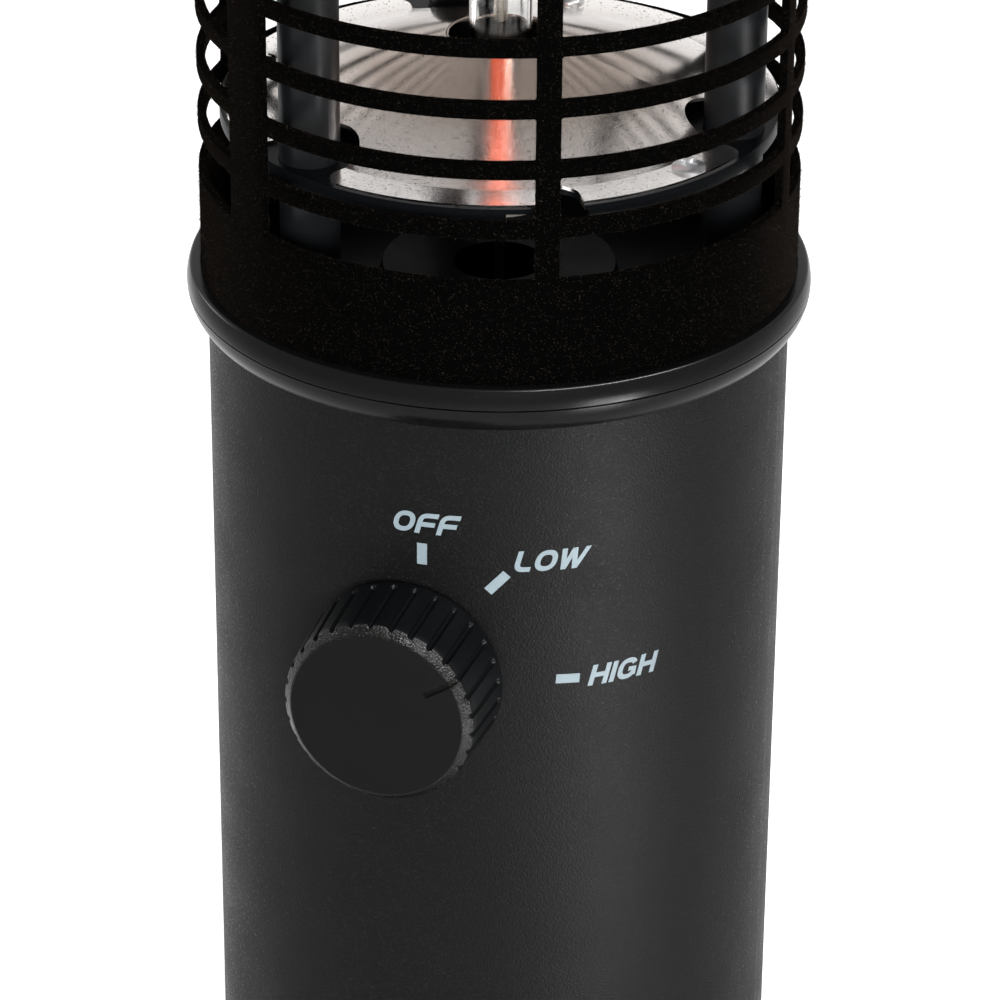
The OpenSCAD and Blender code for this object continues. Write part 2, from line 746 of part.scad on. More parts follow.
module nipple_nuts() color(steel) at_posts() difference() {
    translate([0, 0, z_column_top - nipple_nut_t]) cylinder(r = nipple_nut_r, h = nipple_nut_t,
        $fn = hex_sides);
    disc(nipple_r + running, 0, z_middle);
}

module head_plate() color(satin_black) difference() {
    disc(column_r, z_head_plate, plate_t);
    disc(stud_r + fit, z_middle, cage_h);
    at_posts() disc(post_bolt_r + slip, z_middle, cage_h);
}

module post_bolts() color(steel) at_posts()
    screw(post_bolt_r, post_bolt_l, post_bolt_head_r, post_bolt_head_h, z_cap);

// Pans and reflectors

module small_notch() {
    disc(small_notch_r, z_plate + cut, cage_h / 2);
    translate([-small_notch_r, -pan_d, z_plate + cut]) cube([2 * small_notch_r, pan_d, cage_h / 2]);
}

// Rounds one corner of a lobe where a post notch opens at the rim
module lobe_corner() {
    rim_r = reflector_d / 2;
    x = notch_r + lobe_fillet;
    y = -sqrt(pow(rim_r - lobe_fillet, 2) - x * x);
    reach = (rim_r + cut) / (rim_r - lobe_fillet);
    translate([0, 0, z_rim - cage_h / 4]) linear_extrude(cage_h / 2) difference() {
        polygon([[notch_r - cut, y], [x, y], [x * reach, y * reach],
            [notch_r - cut, y * reach - lobe_fillet]]);
        translate([x, y]) circle(lobe_fillet);
    }
}

module reflector_shape() difference() {
    translate([0, 0, z_pan]) rotate_extrude() polygon([
        [reflector_hole_d / 2, cone_rise], [crease_d / 2, 0], [reflector_d / 2, 0],
        [reflector_d / 2, reflector_t], [crease_d / 2, reflector_t],
        [reflector_hole_d / 2, cone_rise + reflector_t]]);
    at_posts() {
        disc(notch_r, z_plate, cage_h / 2);
        translate([-notch_r, -pan_d, z_plate]) cube([2 * notch_r, pan_d, cage_h / 2]);
    }
    for (i = [0:2]) rotate([0, 0, post_angle + 120 * i]) {
        lobe_corner();
        mirror([1, 0, 0]) lobe_corner();
    }
    at_lobes(small_notch_ring_r) small_notch();
    at_posts(0) rotate([0, 0, reflector_screw_angle]) translate([0, -reflector_screw_ring_r, 0])
        disc(reflector_screw_r + fit, z_plate, cage_h / 2);
}

module pan_shape() difference() {
    translate([0, 0, z_pan]) rotate_extrude() polygon([
        [holder_r + slip, -pan_t], [pan_r - pan_t, -pan_t], [pan_r - pan_t, -pan_lip], [pan_r, -pan_lip],
        [pan_r, 0], [holder_r + slip, 0]]);
    at_posts() disc(post_r + slip, z_plate, cage_h / 2);
    at_lobes(small_notch_ring_r) {
        small_notch();
        translate([-lip_gap_left, -pan_d, z_plate + cut])
            cube([lip_gap_left + lip_gap_right, pan_d, pan_rise - pan_t - cut]);
    }
    at_posts(0) rotate([0, 0, reflector_screw_angle]) translate([0, -reflector_screw_ring_r, 0])
        disc(reflector_screw_r + fit, z_plate, cage_h / 2);
    for (x = [-1, 1]) translate([x * holder_screw_x, 0, 0]) disc(holder_screw_r + fit, z_plate, cage_h / 2);
}

module reflector_screw_shape() at_posts(0) rotate([0, 0, reflector_screw_angle])
    translate([0, -reflector_screw_ring_r, 0])
        screw(reflector_screw_r, reflector_screw_l, reflector_head_r, reflector_head_h, z_rim);

// Clips under a pan grip the posts and open outwards
module pan_clip_shape() at_posts() difference() {
    pipe(clip_ring_r, post_r + running, z_pan - pan_t - clip_ring_t, clip_ring_t);
    translate([-post_r, -2 * clip_ring_r, z_plate]) cube([post_d, 2 * clip_ring_r, pan_rise]);
}

module lampholder_shape() difference() {
    union() {
        disc(holder_r, z_holder, holder_l + holder_flange_t);
        disc(holder_flange_r, z_pan, holder_flange_t);
        disc(holder_neck_r, z_pan, holder_neck_l);
    }
    disc(lamp_base_r + fit, z_lamp_base, cage_h);
    disc(wire_r + loose, z_holder - cut, holder_l);
    for (x = [-1, 1]) translate([x * holder_screw_x, 0, 0]) disc(holder_screw_r + running, 0, z_middle);
}

module holder_screw_shape() for (x = [-1, 1]) translate([x * holder_screw_x, 0, 0])
    screw(holder_screw_r, pan_t + holder_flange_t + holder_screw_end, holder_screw_r * head_ratio,
        small_head_h, z_pan + holder_flange_t);

module lower_pan() color(satin_black) pan_shape();
module upper_pan() color(satin_black) at_top() pan_shape();
module pan_clips() color(steel) {
    pan_clip_shape();
    at_top() pan_clip_shape();
}
module lower_reflector() color(bright_sheet) reflector_shape();
module upper_reflector() color(bright_sheet) at_top() reflector_shape();
module reflector_screws() color(steel) {
    reflector_screw_shape();
    at_top() reflector_screw_shape();
}
module lower_lampholder() color(ceramic_white) lampholder_shape();
module upper_lampholder() color(ceramic_white) at_top() lampholder_shape();
module holder_screws() color(steel) {
    holder_screw_shape();
    at_top() holder_screw_shape();
}

// Lamp

module lamp_base_shape() difference() {
    disc(lamp_base_r, z_lamp_base, lamp_base_l);
    disc(lamp_r + fit, z_lamp_base + lamp_seat, lamp_base_l);
    disc(lead_rod_r + running, z_lamp_base + lamp_seat / 2, lamp_base_l);
}

module lamp_lead_shape() {
    disc(lead_rod_r, z_lamp_base + lamp_seat / 2 + slip, z_crimp - z_lamp_base - lamp_seat / 2);
    translate([0, 0, z_crimp + crimp_r]) sphere(crimp_r);
    disc(crimp_r, z_crimp + crimp_r, crimp_l - crimp_r);
}

module lamp_bases() color(ceramic_white) {
    lamp_base_shape();
    at_top() lamp_base_shape();
}
module lamp_leads() color(lead_grey) {
    lamp_lead_shape();
    at_top() lamp_lead_shape();
}
module quartz_tube() color(quartz_clear)
    pipe(lamp_r, lamp_r - lamp_wall, z_lamp, 2 * (z_middle - z_lamp));

coil_points = coil_path(z_coil, coil_l, coil_d / 2, coil_turns, coil_wire);
module heating_filament() color(glowing) {
    echo(filament_least_gap = least_gap(coil_points, coil_wire, curl_rings / 2 + 1));
    sweep(coil_points, coil_wire / 2, coil_sides, [1, 0, 0]);
}

// Guard cage: a rolled sheet with rows of slots between upright bars, one bar covering the seam
module guard_cage() color(flock_black) difference() {
    pipe(cage_r, cage_r - cage_t, z_cage, cage_h);
    for (row = [0:slot_rows - 1]) difference() {
        pipe(cage_r + cut, cage_r - cage_t - cut, z_cage + band_h + row * slot_pitch, slot_h);
        for (i = [0:upright_count - 1]) rotate([0, 0, upright_angle + 360 * i / upright_count])
            translate([-upright_w / 2, -cage_d, z_cage]) cube([upright_w, cage_d, cage_h]);
        rotate([0, 0, upright_angle - 360 / upright_count])
            translate([upright_w / 2 - seam_w, -cage_d, z_cage]) cube([seam_w, cage_d, cage_h]);
    }
}

// Head

module top_cap() color(satin_black) translate([0, 0, z_cap]) difference() {
    rotate_extrude() difference() {
        slab_profile(column_r, cap_h, cap_fillet);
        translate([0, -cut]) slab_profile(column_in_r, cap_h - column_wall + cut, cap_fillet - column_wall);
    }
    disc(stud_r + fit, 0, cap_h + cut);
}

module cap_stud() color(steel) {
    disc(stud_head_r, z_head_plate - stud_head_h, stud_head_h);
    disc(stud_r, z_head_plate - cut, plate_t + cap_h + cap_nut_h + cut - stud_short);
}

module cap_nut() color(steel) translate([0, 0, z_cap + cap_h]) difference() {
    union() {
        cylinder(r = cap_nut_r, h = cap_nut_h, $fn = hex_sides);
        translate([0, 0, cap_nut_h]) intersection() {
            sphere(r = cap_dome_r);
            cylinder(r = cap_nut_r, h = cap_nut_r);
        }
    }
    disc(stud_r + running, -cut, cap_nut_h + cut);
}

// Internal wiring, routed by hand-chosen points
rear_angle = post_angle + 120;
rear_foot = post_ring_r * [sin(rear_angle), -cos(rear_angle), 0];
inward = -unit(rear_foot);
up = [0, 0, 1];
z_lead_exit = z_head_plate - post_plug - lead_exit_drop;
holder_end = (2 * z_middle - z_holder) * up;
switch_back = switch_face - switch_depth;
block_y = bracket_y - block_depth / 2;
z_block_top = z_block + block_h;

lower_lamp_route = [[0, 0, z_lamp_base - wire_gap], [0, 0, z_holder], [0, 0, z_column_top],
    [0, -4, z_column_top - 30], [0, -14, z_knob + 16], [0, -26, z_knob + 1],
    [0, -switch_back + 6, z_knob], [0, -switch_back + wire_gap, z_knob]];
upper_lamp_route = concat(
    [[-terminal_x, block_y, z_block_top + wire_gap], [-terminal_x, block_y, z_block_top + 8],
        rear_foot + (z_block_top + wire_climb) * up + 4 * inward],
    [for (z = [z_column_top - 40, z_plate, z_middle, z_lead_exit - 20, z_lead_exit - 9])
        rear_foot + z * up],
    [rear_foot + z_lead_exit * up + 3 * inward, rear_foot + (z_lead_exit + 1) * up + 20 * inward,
        holder_end + 7 * up - 16 * inward, holder_end + 9 * up - 7 * inward,
        holder_end + 6.5 * up - 1.2 * inward,
        holder_end + 2 * up, holder_end - 2 * up, holder_end - (holder_floor - wire_gap) * up]);
switch_route = [[terminal_x, block_y, z_block_top + wire_gap], [terminal_x, block_y, z_block_top + 8],
    [terminal_x, block_y - 6, z_block_top + wire_climb], [terminal_x, 0, z_knob - 6],
    [terminal_x, -switch_back + 6, z_knob], [terminal_x, -switch_back + wire_gap, z_knob]];
tip_route = [[0, 0, z_micro + micro_h + wire_gap], [0, 0, z_micro + micro_h + 4], [0, 10, z_block - 26],
    [0, block_y, z_block - 10], [0, block_y, z_block - wire_gap]];

module wiring() color(lead_grey) for (route = [lower_lamp_route, upper_lamp_route, switch_route, tip_route])
    sweep(curve(route), wire_r, wire_sides, [1, 0, 0]);

rubber_feet();
bottom_cover();
bottom_screws();
ballast_disc();
base_cover();
column_bolts();
clamp_ring();
tip_housing();
tip_housing_screws();
tip_plunger();
tip_spring();
tip_microswitch();
tip_switch_screws();
column_tube();
column_foot();
cable_gland();
gland_nut();
terminal_bracket();
bracket_screws();
terminal_block();
terminal_screws();
rotary_switch();
switch_nut();
switch_shaft();
knob_spring_clip();
control_knob();
thermal_cutout();
column_top_plate();
column_collar();
cage_foot_collar();
cage_head_collar();
cap_collar();
support_post(0);  // post_right
support_post(1);  // post_rear
support_post(2);  // post_front_left
post_nipples();
nipple_nuts();
head_plate();
post_bolts();
lower_pan();
upper_pan();
pan_clips();
lower_reflector();
upper_reflector();
reflector_screws();
lower_lampholder();
upper_lampholder();
holder_screws();
lamp_bases();
lamp_leads();
quartz_tube();
heating_filament();
guard_cage();
top_cap();
cap_stud();
cap_nut();
wiring();
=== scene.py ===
import json
import math

import bmesh
import bpy
import numpy as np
from mathutils import Matrix, Vector


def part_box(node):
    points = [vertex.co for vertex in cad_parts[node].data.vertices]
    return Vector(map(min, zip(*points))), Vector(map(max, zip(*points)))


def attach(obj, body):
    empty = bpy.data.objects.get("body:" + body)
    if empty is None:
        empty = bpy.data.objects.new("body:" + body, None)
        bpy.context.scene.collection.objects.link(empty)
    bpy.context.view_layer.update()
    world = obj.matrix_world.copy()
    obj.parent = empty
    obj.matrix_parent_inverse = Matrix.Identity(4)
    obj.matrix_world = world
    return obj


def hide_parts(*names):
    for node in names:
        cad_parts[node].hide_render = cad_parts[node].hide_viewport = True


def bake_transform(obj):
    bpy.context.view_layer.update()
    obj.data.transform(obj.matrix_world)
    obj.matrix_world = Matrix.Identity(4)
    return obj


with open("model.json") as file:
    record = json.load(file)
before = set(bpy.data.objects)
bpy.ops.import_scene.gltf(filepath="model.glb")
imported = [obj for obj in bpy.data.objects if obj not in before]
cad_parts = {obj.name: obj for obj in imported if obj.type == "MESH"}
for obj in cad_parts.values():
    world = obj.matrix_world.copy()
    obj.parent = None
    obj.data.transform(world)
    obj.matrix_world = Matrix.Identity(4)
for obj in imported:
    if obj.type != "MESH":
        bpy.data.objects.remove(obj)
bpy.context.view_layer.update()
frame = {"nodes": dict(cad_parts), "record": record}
record = frame["record"]
nodes = frame["nodes"]
mm = 0.001
chance = np.random.default_rng(11)


# Camera

def addObject(name, data):
    made = bpy.data.objects.new(name, data)
    bpy.context.scene.collection.objects.link(made)
    return made


cameraView = {
    "focalPx": 4632.6,       # focal length in pixels of the square frame
    "framePx": 1000,
    "sensor": 36.0,
    "distance": 1.1443,      # from the lens to the aim point on the heater's axis
    "aimHeight": 0.2725,
    "azimuth": 17.2,         # degrees from the knob's side towards +X
    "elevation": 27.683,
    "roll": 0.463,
    "sideStep": 0.000688,
    "farthest": 50,
}


def placeCamera(view):
    azimuth, elevation, roll = np.radians([view["azimuth"], view["elevation"], view["roll"]])
    right = np.array([np.cos(azimuth), np.sin(azimuth), 0.0])
    outward = np.array([np.sin(azimuth), -np.cos(azimuth), 0.0])
    back = np.cos(elevation) * outward + np.array([0.0, 0.0, np.sin(elevation)])
    up = np.cross(back, right)
    aim = np.array([0.0, 0.0, view["aimHeight"]])
    turned = np.eye(4)
    turned[:3, 0] = np.cos(roll) * right + np.sin(roll) * up
    turned[:3, 1] = np.cos(roll) * up - np.sin(roll) * right
    turned[:3, 2] = back
    turned[:3, 3] = aim + view["distance"] * back + view["sideStep"] * right
    lens = bpy.data.cameras.new("photoCamera")
    lens.sensor_width = view["sensor"]
    lens.lens = view["focalPx"] / view["framePx"] * view["sensor"]
    lens.clip_end = view["farthest"]
    holder = addObject("photoCamera", lens)
    holder.matrix_world = Matrix(turned.tolist())
    bpy.context.scene.camera = holder


placeCamera(cameraView)
print("camera placed")


# Mesh helpers: a surface is a grid of points over two parameters

def joinGrids(grids, closeRows=False):
    # each cell of a grid (rows, columns, 3) becomes one quad; columns run round, rows only with closeRows
    points, quads, start = [], [], 0
    for grid in grids:
        rows, columns = grid.shape[:2]
        i, j = np.meshgrid(np.arange(rows if closeRows else rows - 1), np.arange(columns), indexing="ij")
        below, beside = (i + 1) % rows, (j + 1) % columns
        cells = np.stack([i * columns + j, i * columns + beside,
                          below * columns + beside, below * columns + j], -1)
        points.append(grid.reshape(-1, 3))
        quads.append(cells.reshape(-1, 4) + start)
        start += rows * columns
    return np.concatenate(points), np.concatenate(quads)


sharpAngle = math.radians(38)     # edges that bend more than this stay sharp


def makePiece(name, surface, finishNames, body, replaced=(), faceMaterial=None, weld=1e-6):
    # surface is (points, faces); points closer than weld become one
    points, faces = surface
    mesh = bpy.data.meshes.new(name)
    mesh.from_pydata(points.tolist(), [], faces.tolist())
    for finishName in finishNames:
        mesh.materials.append(finishes[finishName])
    if faceMaterial is not None:
        mesh.polygons.foreach_set("material_index", faceMaterial.astype(np.int32))
    cleaned = bmesh.new()
    cleaned.from_mesh(mesh)
    bmesh.ops.remove_doubles(cleaned, verts=cleaned.verts, dist=weld)
    bmesh.ops.recalc_face_normals(cleaned, faces=cleaned.faces)
    cleaned.to_mesh(mesh)
    cleaned.free()
    mesh.polygons.foreach_set("use_smooth", np.ones(len(mesh.polygons), dtype=bool))
    mesh.set_sharp_from_angle(angle=sharpAngle)
    piece = addObject(name, mesh)
    if body:
        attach(piece, body)
    if replaced:
        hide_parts(*replaced)
    return piece


def around(radius, angle, height):
    # cylinder coordinates: the angle counts from the knob's side towards +X
    return np.stack([radius * np.sin(angle), -radius * np.cos(angle), height + 0 * angle], -1)


def lathe(profile, steps=192):
    # a profile of (radius, height) turned about the heater's axis
    angle = np.linspace(0, 2 * np.pi, steps, endpoint=False)[None, :]
    return around(profile[:, 0:1] + 0 * angle, angle + 0 * profile[:, 0:1], profile[:, 1:2])


def unitRows(vectors):
    return vectors / np.linalg.norm(vectors, axis=-1, keepdims=True)


def smoothPath(points, steps):
    # a Catmull-Rom curve through the points
    p = np.asarray(points, float)
    a, b = np.concatenate([p[:1], p[:-2]]), p[:-1]
    c, d = p[1:], np.concatenate([p[2:], p[-1:]])
    t = (np.arange(steps) / steps)[None, :, None]
    a, b, c, d = (q[:, None, :] for q in (a, b, c, d))
    curve = 0.5 * (2 * b + (c - a) * t + (2 * a - 5 * b + 4 * c - d) * t ** 2
                   + (3 * b - a - 3 * c + d) * t ** 3)
    return np.concatenate([curve.reshape(-1, 3), p[-1:]])


def tubeGrid(path, radius, sides, reference):
    # a circle carried along the path, square to it, with both ends drawn in to a point
    tangent = unitRows(np.gradient(path, axis=0))
    side = unitRows(reference - tangent * (reference * tangent).sum(-1, keepdims=True))
    other = np.cross(tangent, side)
    turn = np.linspace(0, 2 * np.pi, sides, endpoint=False)
    ring = (np.cos(turn)[None, :, None] * side[:, None, :]
            + np.sin(turn)[None, :, None] * other[:, None, :])
    grid = path[:, None, :] + radius * ring
    ends = np.repeat(path[[0, -1]][:, None, :], sides, axis=1)
    return np.concatenate([ends[:1], grid, ends[1:]])


# Finishes

def feed(tree, value, socket):
    # a value is another node's output, or a plain number or colour
    if isinstance(value, bpy.types.NodeSocket):
        tree.links.new(value, socket)
    else:
        socket.default_value = value


def addMath(tree, operation, *values):
    node = tree.nodes.new("ShaderNodeMath")
    node.operation = operation
    for socket, value in zip(node.inputs, values):
        feed(tree, value, socket)
    return node.outputs[0]


def addRange(tree, value, target, source=(0.0, 1.0)):
    # brings a value from the source range to the target range
    node = tree.nodes.new("ShaderNodeMapRange")
    feed(tree, value, node.inputs["Value"])
    for name, number in zip(("From Min", "From Max", "To Min", "To Max"), (*source, *target)):
        node.inputs[name].default_value = number
    return node.outputs["Result"]


def addTint(tree, factor, first, second):
    node = tree.nodes.new("ShaderNodeMix")
    node.data_type = "RGBA"
    for name, value in (("Factor", factor), ("A", first), ("B", second)):
        feed(tree, value, node.inputs[name])
    return node.outputs["Result"]


def addDistance(tree, scale):
    # distance from the object's origin, with each direction scaled first
    place = tree.nodes.new("ShaderNodeTexCoord")
    scaled, length = tree.nodes.new("ShaderNodeVectorMath"), tree.nodes.new("ShaderNodeVectorMath")
    scaled.operation, length.operation = "MULTIPLY", "LENGTH"
    feed(tree, place.outputs["Object"], scaled.inputs[0])
    feed(tree, scale, scaled.inputs[1])
    feed(tree, scaled.outputs[0], length.inputs[0])
    return length.outputs["Value"]


surfaceSizes = {"Grain Size": 0.0003, "Blotch Size": 0.02, "Speck Size": 0.0004, "Speck Share": 0.02}
noiseDetail = {"Grain": 2.0, "Blotch": 3.0}
speckCore = 0.42               # only the middle of a chosen cell shows
blotchRange = (0.3, 0.7)       # the part of the slow noise that spreads a finish's roughness


def buildSurfaceGroup():
    # grain is a fine noise for the bump, blotch a slow one for uneven gloss, specks are rare small cells
    group = bpy.data.node_groups.new("surfaceTexture", "ShaderNodeTree")
    for name, size in surfaceSizes.items():
        socket = group.interface.new_socket(name=name, in_out="INPUT", socket_type="NodeSocketFloat")
        socket.default_value = size
    for name in ("Grain", "Blotch", "Specks"):
        group.interface.new_socket(name=name, in_out="OUTPUT", socket_type="NodeSocketFloat")
    make = group.nodes.new
    given, out = make("NodeGroupInput").outputs, make("NodeGroupOutput").inputs
    place = make("ShaderNodeTexCoord").outputs["Object"]

    def scaled(kind, sizeName):
        texture = make(kind)
        feed(group, place, texture.inputs["Vector"])
        feed(group, addMath(group, "DIVIDE", 1.0, given[sizeName]), texture.inputs["Scale"])
        return texture

    for name, detail in noiseDetail.items():
        noise = scaled("ShaderNodeTexNoise", name + " Size")
        noise.inputs["Detail"].default_value = detail
        feed(group, noise.outputs["Fac"], out[name])
    cells, lot = scaled("ShaderNodeTexVoronoi", "Speck Size"), make("ShaderNodeSeparateColor")
    feed(group, cells.outputs["Color"], lot.inputs[0])
    chosen = addMath(group, "LESS_THAN", lot.outputs[0], given["Speck Share"])
    core = addMath(group, "LESS_THAN", cells.outputs["Distance"], speckCore)
    feed(group, addMath(group, "MULTIPLY", chosen, core), out["Specks"])
    return group


surfaceGroup = buildSurfaceGroup()


def newMaterial(name, fixed):
    material = bpy.data.materials.new(name)
    material.use_nodes = True
    shader = material.node_tree.nodes["Principled BSDF"]
    for socket, value in fixed.items():
        shader.inputs[socket].default_value = value
    return material, material.node_tree, shader.inputs


def addTexture(tree, sizes):
    texture = tree.nodes.new("ShaderNodeGroup")
    texture.node_tree = surfaceGroup
    for name, size in {**surfaceSizes, **sizes}.items():
        texture.inputs[name].default_value = size
    return texture.outputs


def makeFinish(name, look):
    material, tree, shader = newMaterial(name, look.get("fixed", {}))
    keys = ("grain", "blotch", "speckSize", "speckShare")
    texture = addTexture(tree, {size: look[key] for size, key in zip(surfaceSizes, keys) if key in look})
    clean = (*look["colour"], 1)
    if "darkerMiddle" in look:          # the sheet is darker and browner towards the heater's axis
        fade = addRange(tree, addDistance(tree, (1, 1, 0)), (0.0, 1.0), look["darkerMiddle"]["reach"])
        clean = addTint(tree, fade, (*look["darkerMiddle"]["colour"], 1), clean)
    feed(tree, addTint(tree, texture["Specks"], clean, (*look["speck"], 1)), shader["Base Color"])
    rough = addRange(tree, texture["Blotch"], look["rough"], blotchRange)
    # specks can be smoother than the rest, so that they sparkle
    glint = addMath(tree, "MULTIPLY_ADD", texture["Specks"], -look.get("glint", 0.0), rough)
    feed(tree, glint, shader["Roughness"])
    bump = tree.nodes.new("ShaderNodeBump")
    bump.inputs["Strength"].default_value = look["bump"]
    bump.inputs["Distance"].default_value = look["grain"] * look.get("bumpDepth", 0.3)
    feed(tree, texture["Grain"], bump.inputs["Height"])
    feed(tree, bump.outputs["Normal"], shader["Normal"])
    return material


def grey(level):
    return level, level, level


finishLooks = {
    # its lighter specks are partly grain in the powder and partly painted glints of its sparkle; their
    # lower roughness adds real glints
    "powderBlack": {"colour": (0.005, 0.005, 0.0052), "speck": (0.018, 0.0175, 0.017), "rough": (0.42, 0.5),
                    "grain": 0.0005, "bump": 1.0, "bumpDepth": 0.34, "speckSize": 0.0004,
                    "speckShare": 0.16, "glint": 0.25, "fixed": {"Specular IOR Level": 0.05}},
    "flockBlack": {"colour": (0.001, 0.00094, 0.00088), "speck": (0.013, 0.011, 0.009), "rough": (0.9, 1.0),
                   "grain": 0.00035, "bump": 0.9, "bumpDepth": 0.8, "speckSize": 0.0003, "speckShare": 0.1,
                   "fixed": {"Specular IOR Level": 0.0, "Sheen Weight": 0.015, "Sheen Roughness": 0.35,
                             "Sheen Tint": (1.0, 0.8, 0.66, 1)}},
    "satinPlastic": {"colour": (0.0035, 0.0036, 0.0038), "speck": grey(0.01), "rough": (0.18, 0.25),
                     "grain": 0.0005, "bump": 0.1, "fixed": {"Specular IOR Level": 0.07}},
    "knobFace": {"colour": grey(0.0018), "speck": grey(0.004), "rough": (0.56, 0.62),
                 "grain": 0.00022, "bump": 0.1, "fixed": {"Specular IOR Level": 0.08}},
    "knobGrip": {"colour": (0.0026, 0.0029, 0.0033), "speck": grey(0.006), "rough": (0.3, 0.38),
                 "grain": 0.0006, "bump": 0.12, "fixed": {"Specular IOR Level": 0.05}},
    # its lighter specks are partly grain and partly painted glints on the knob's chamfer
    "knobEdge": {"colour": (0.0016, 0.0014, 0.0012), "speck": (0.03, 0.027, 0.024), "rough": (0.14, 0.2),
                 "grain": 0.00045, "bump": 1.0, "bumpDepth": 0.7, "speckSize": 0.0003, "speckShare": 0.12,
                 "glint": 0.06, "fixed": {"Specular IOR Level": 0.13}},
    "slateEnamel": {"colour": (0.006, 0.0066, 0.0074), "speck": (0.012, 0.0125, 0.013), "rough": (0.3, 0.4),
                    "grain": 0.0006, "bump": 0.1, "fixed": {"Specular IOR Level": 0.12}},
    "brightSheet": {"colour": (0.93, 0.895, 0.87), "speck": (0.34, 0.3, 0.27), "rough": (0.1, 0.2),
                    # darker and browner towards the heater's axis, from 64 mm in
                    "darkerMiddle": {"colour": (0.4, 0.325, 0.28), "reach": (0.03, 0.064)},
                    "grain": 0.0005, "bump": 0.09, "blotch": 0.012, "speckSize": 0.00055,
                    "speckShare": 0.14, "fixed": {"Metallic": 1.0}},
    "panBlack": {"colour": (0.003, 0.0036, 0.0043), "speck": grey(0.01), "rough": (0.28, 0.38),
                 "grain": 0.0006, "bump": 0.15, "fixed": {"Specular IOR Level": 0.06}},
    "plateBlack": {"colour": (0.0036, 0.004, 0.0045), "speck": grey(0.01), "rough": (0.28, 0.38),
                   "grain": 0.0006, "bump": 0.15, "fixed": {"Specular IOR Level": 0.06}},
    "platedSteel": {"colour": (0.56, 0.56, 0.57), "speck": (0.35, 0.35, 0.36), "rough": (0.24, 0.36),
                    "grain": 0.0008, "bump": 0.12, "fixed": {"Metallic": 1.0}},
    "leadMetal": {"colour": (0.36, 0.32, 0.26), "speck": (0.3, 0.26, 0.2), "rough": (0.18, 0.3),
                  "grain": 0.0006, "bump": 0.15, "fixed": {"Metallic": 1.0}},
    "castIron": {"colour": (0.045, 0.044, 0.043), "speck": (0.09, 0.085, 0.08), "rough": (0.6, 0.8),
                 "grain": 0.0012, "bump": 0.6, "fixed": {"Metallic": 0.6}},
    "mouldedRubber": {"colour": grey(0.011), "speck": grey(0.03), "rough": (0.7, 0.82),
                      "grain": 0.0005, "bump": 0.35, "fixed": {"Specular IOR Level": 0.3}},
    # a warm grey steatite, darkened as painted shade for the cavity round the lamp holders
    "steatite": {"colour": (0.42, 0.39, 0.33), "speck": (0.34, 0.3, 0.25), "rough": (0.55, 0.7),
                 "grain": 0.0007, "bump": 0.25},
    "turnedBrass": {"colour": (0.62, 0.44, 0.16), "speck": (0.4, 0.27, 0.1), "rough": (0.22, 0.34),
                    "grain": 0.0005, "bump": 0.15, "fixed": {"Metallic": 1.0}},
    "siliconeSleeve": {"colour": grey(0.008), "speck": grey(0.012), "rough": (0.5, 0.62),
                       "grain": 0.0006, "bump": 0.15, "fixed": {"Specular IOR Level": 0.25}},
    "printInk": {"colour": (0.21, 0.262, 0.288), "speck": (0.17, 0.21, 0.235), "rough": (0.5, 0.6),
                 "grain": 0.00035, "bump": 0.2, "speckSize": 0.0003, "speckShare": 0.06,
                 "fixed": {"Specular IOR Level": 0.2}},
}
finishes = {name: makeFinish(name, look) for name, look in finishLooks.items()}

quartzLook = {"fixed": {"Transmission Weight": 1.0, "IOR": 1.46, "Base Color": (0.97, 0.985, 0.99, 1)},
              "haze": (0.0, 0.03), "patch": 0.01}
glowLook = {"fixed": {"Roughness": 0.6, "Base Color": (0.2, 0.05, 0.02, 1), "Emission Strength": 1.7},
            "colour": (1.0, 0.1, 0.025, 1), "ember": (1.0, 0.17, 0.055, 1), "patch": 0.006}


def makeQuartz(look):
    # clear, with a faint uneven haze
    material, tree, shader = newMaterial("clearQuartz", look["fixed"])
    texture = addTexture(tree, {"Blotch Size": look["patch"]})
    feed(tree, addRange(tree, texture["Blotch"], look["haze"]), shader["Roughness"])
    return material


def makeGlow(look):
    # the wire glows a little unevenly along its length
    material, tree, shader = newMaterial("glowingWire", look["fixed"])
    texture = addTexture(tree, {"Blotch Size": look["patch"]})
    feed(tree, addTint(tree, texture["Blotch"], look["colour"], look["ember"]), shader["Emission Color"])
    return material


finishes["clearQuartz"] = makeQuartz(quartzLook)
finishes["glowingWire"] = makeGlow(glowLook)

slotFinish = {"powder_black": "powderBlack", "flocked_sheet": "flockBlack", "plastic_black": "satinPlastic",
              "knob_black": "knobFace", "post_slate": "slateEnamel", "reflector_sheet": "brightSheet",
              "steel": "platedSteel", "ballast_iron": "castIron", "rubber": "mouldedRubber",
              "ceramic": "steatite", "brass": "turnedBrass", "quartz": "clearQuartz",
              "filament": "glowingWire", "wire_sleeve": "siliconeSleeve"}
nodeFinish = {"lamp_leads": "leadMetal", "lower_pan": "panBlack", "upper_pan": "panBlack",
              "column_top_plate": "plateBlack"}
nodeSlot = {row["node"]: row["material_slot"] for row in record["subparts"]}
for nodeName, nodeObject in nodes.items():
    nodeObject.data.materials.clear()
    nodeObject.data.materials.append(finishes[nodeFinish.get(nodeName, slotFinish[nodeSlot[nodeName]])])
print("finishes:", len(finishes))


# Guard cage: a rolled sheet whose slots have round corners and soft flocked edges

cageLow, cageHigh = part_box("guard_cage")
cage = {
    "radius": cageHigh.x, "wall": 2.0 * mm, "foot": cageLow.z, "head": cageHigh.z,
    "band": 29.9 * mm, "rows": 16, "slot": 10.3 * mm, "bar": 4.2 * mm,
    "uprights": 6, "firstUpright": 26.0, "uprightHalf": 2.8 * mm, "seamSide": 11.2 * mm,
    "corner": 0.5 * mm,       # radius of a slot's corner
    "edge": 0.45 * mm,        # rounding of the flocked edges
    "sideSteps": 14, "riseSteps": 4, "cornerSteps": 4, "edgeSteps": 4, "bandSteps": 6,
    "near": 1e-9,             # points closer than this are on the same line
}


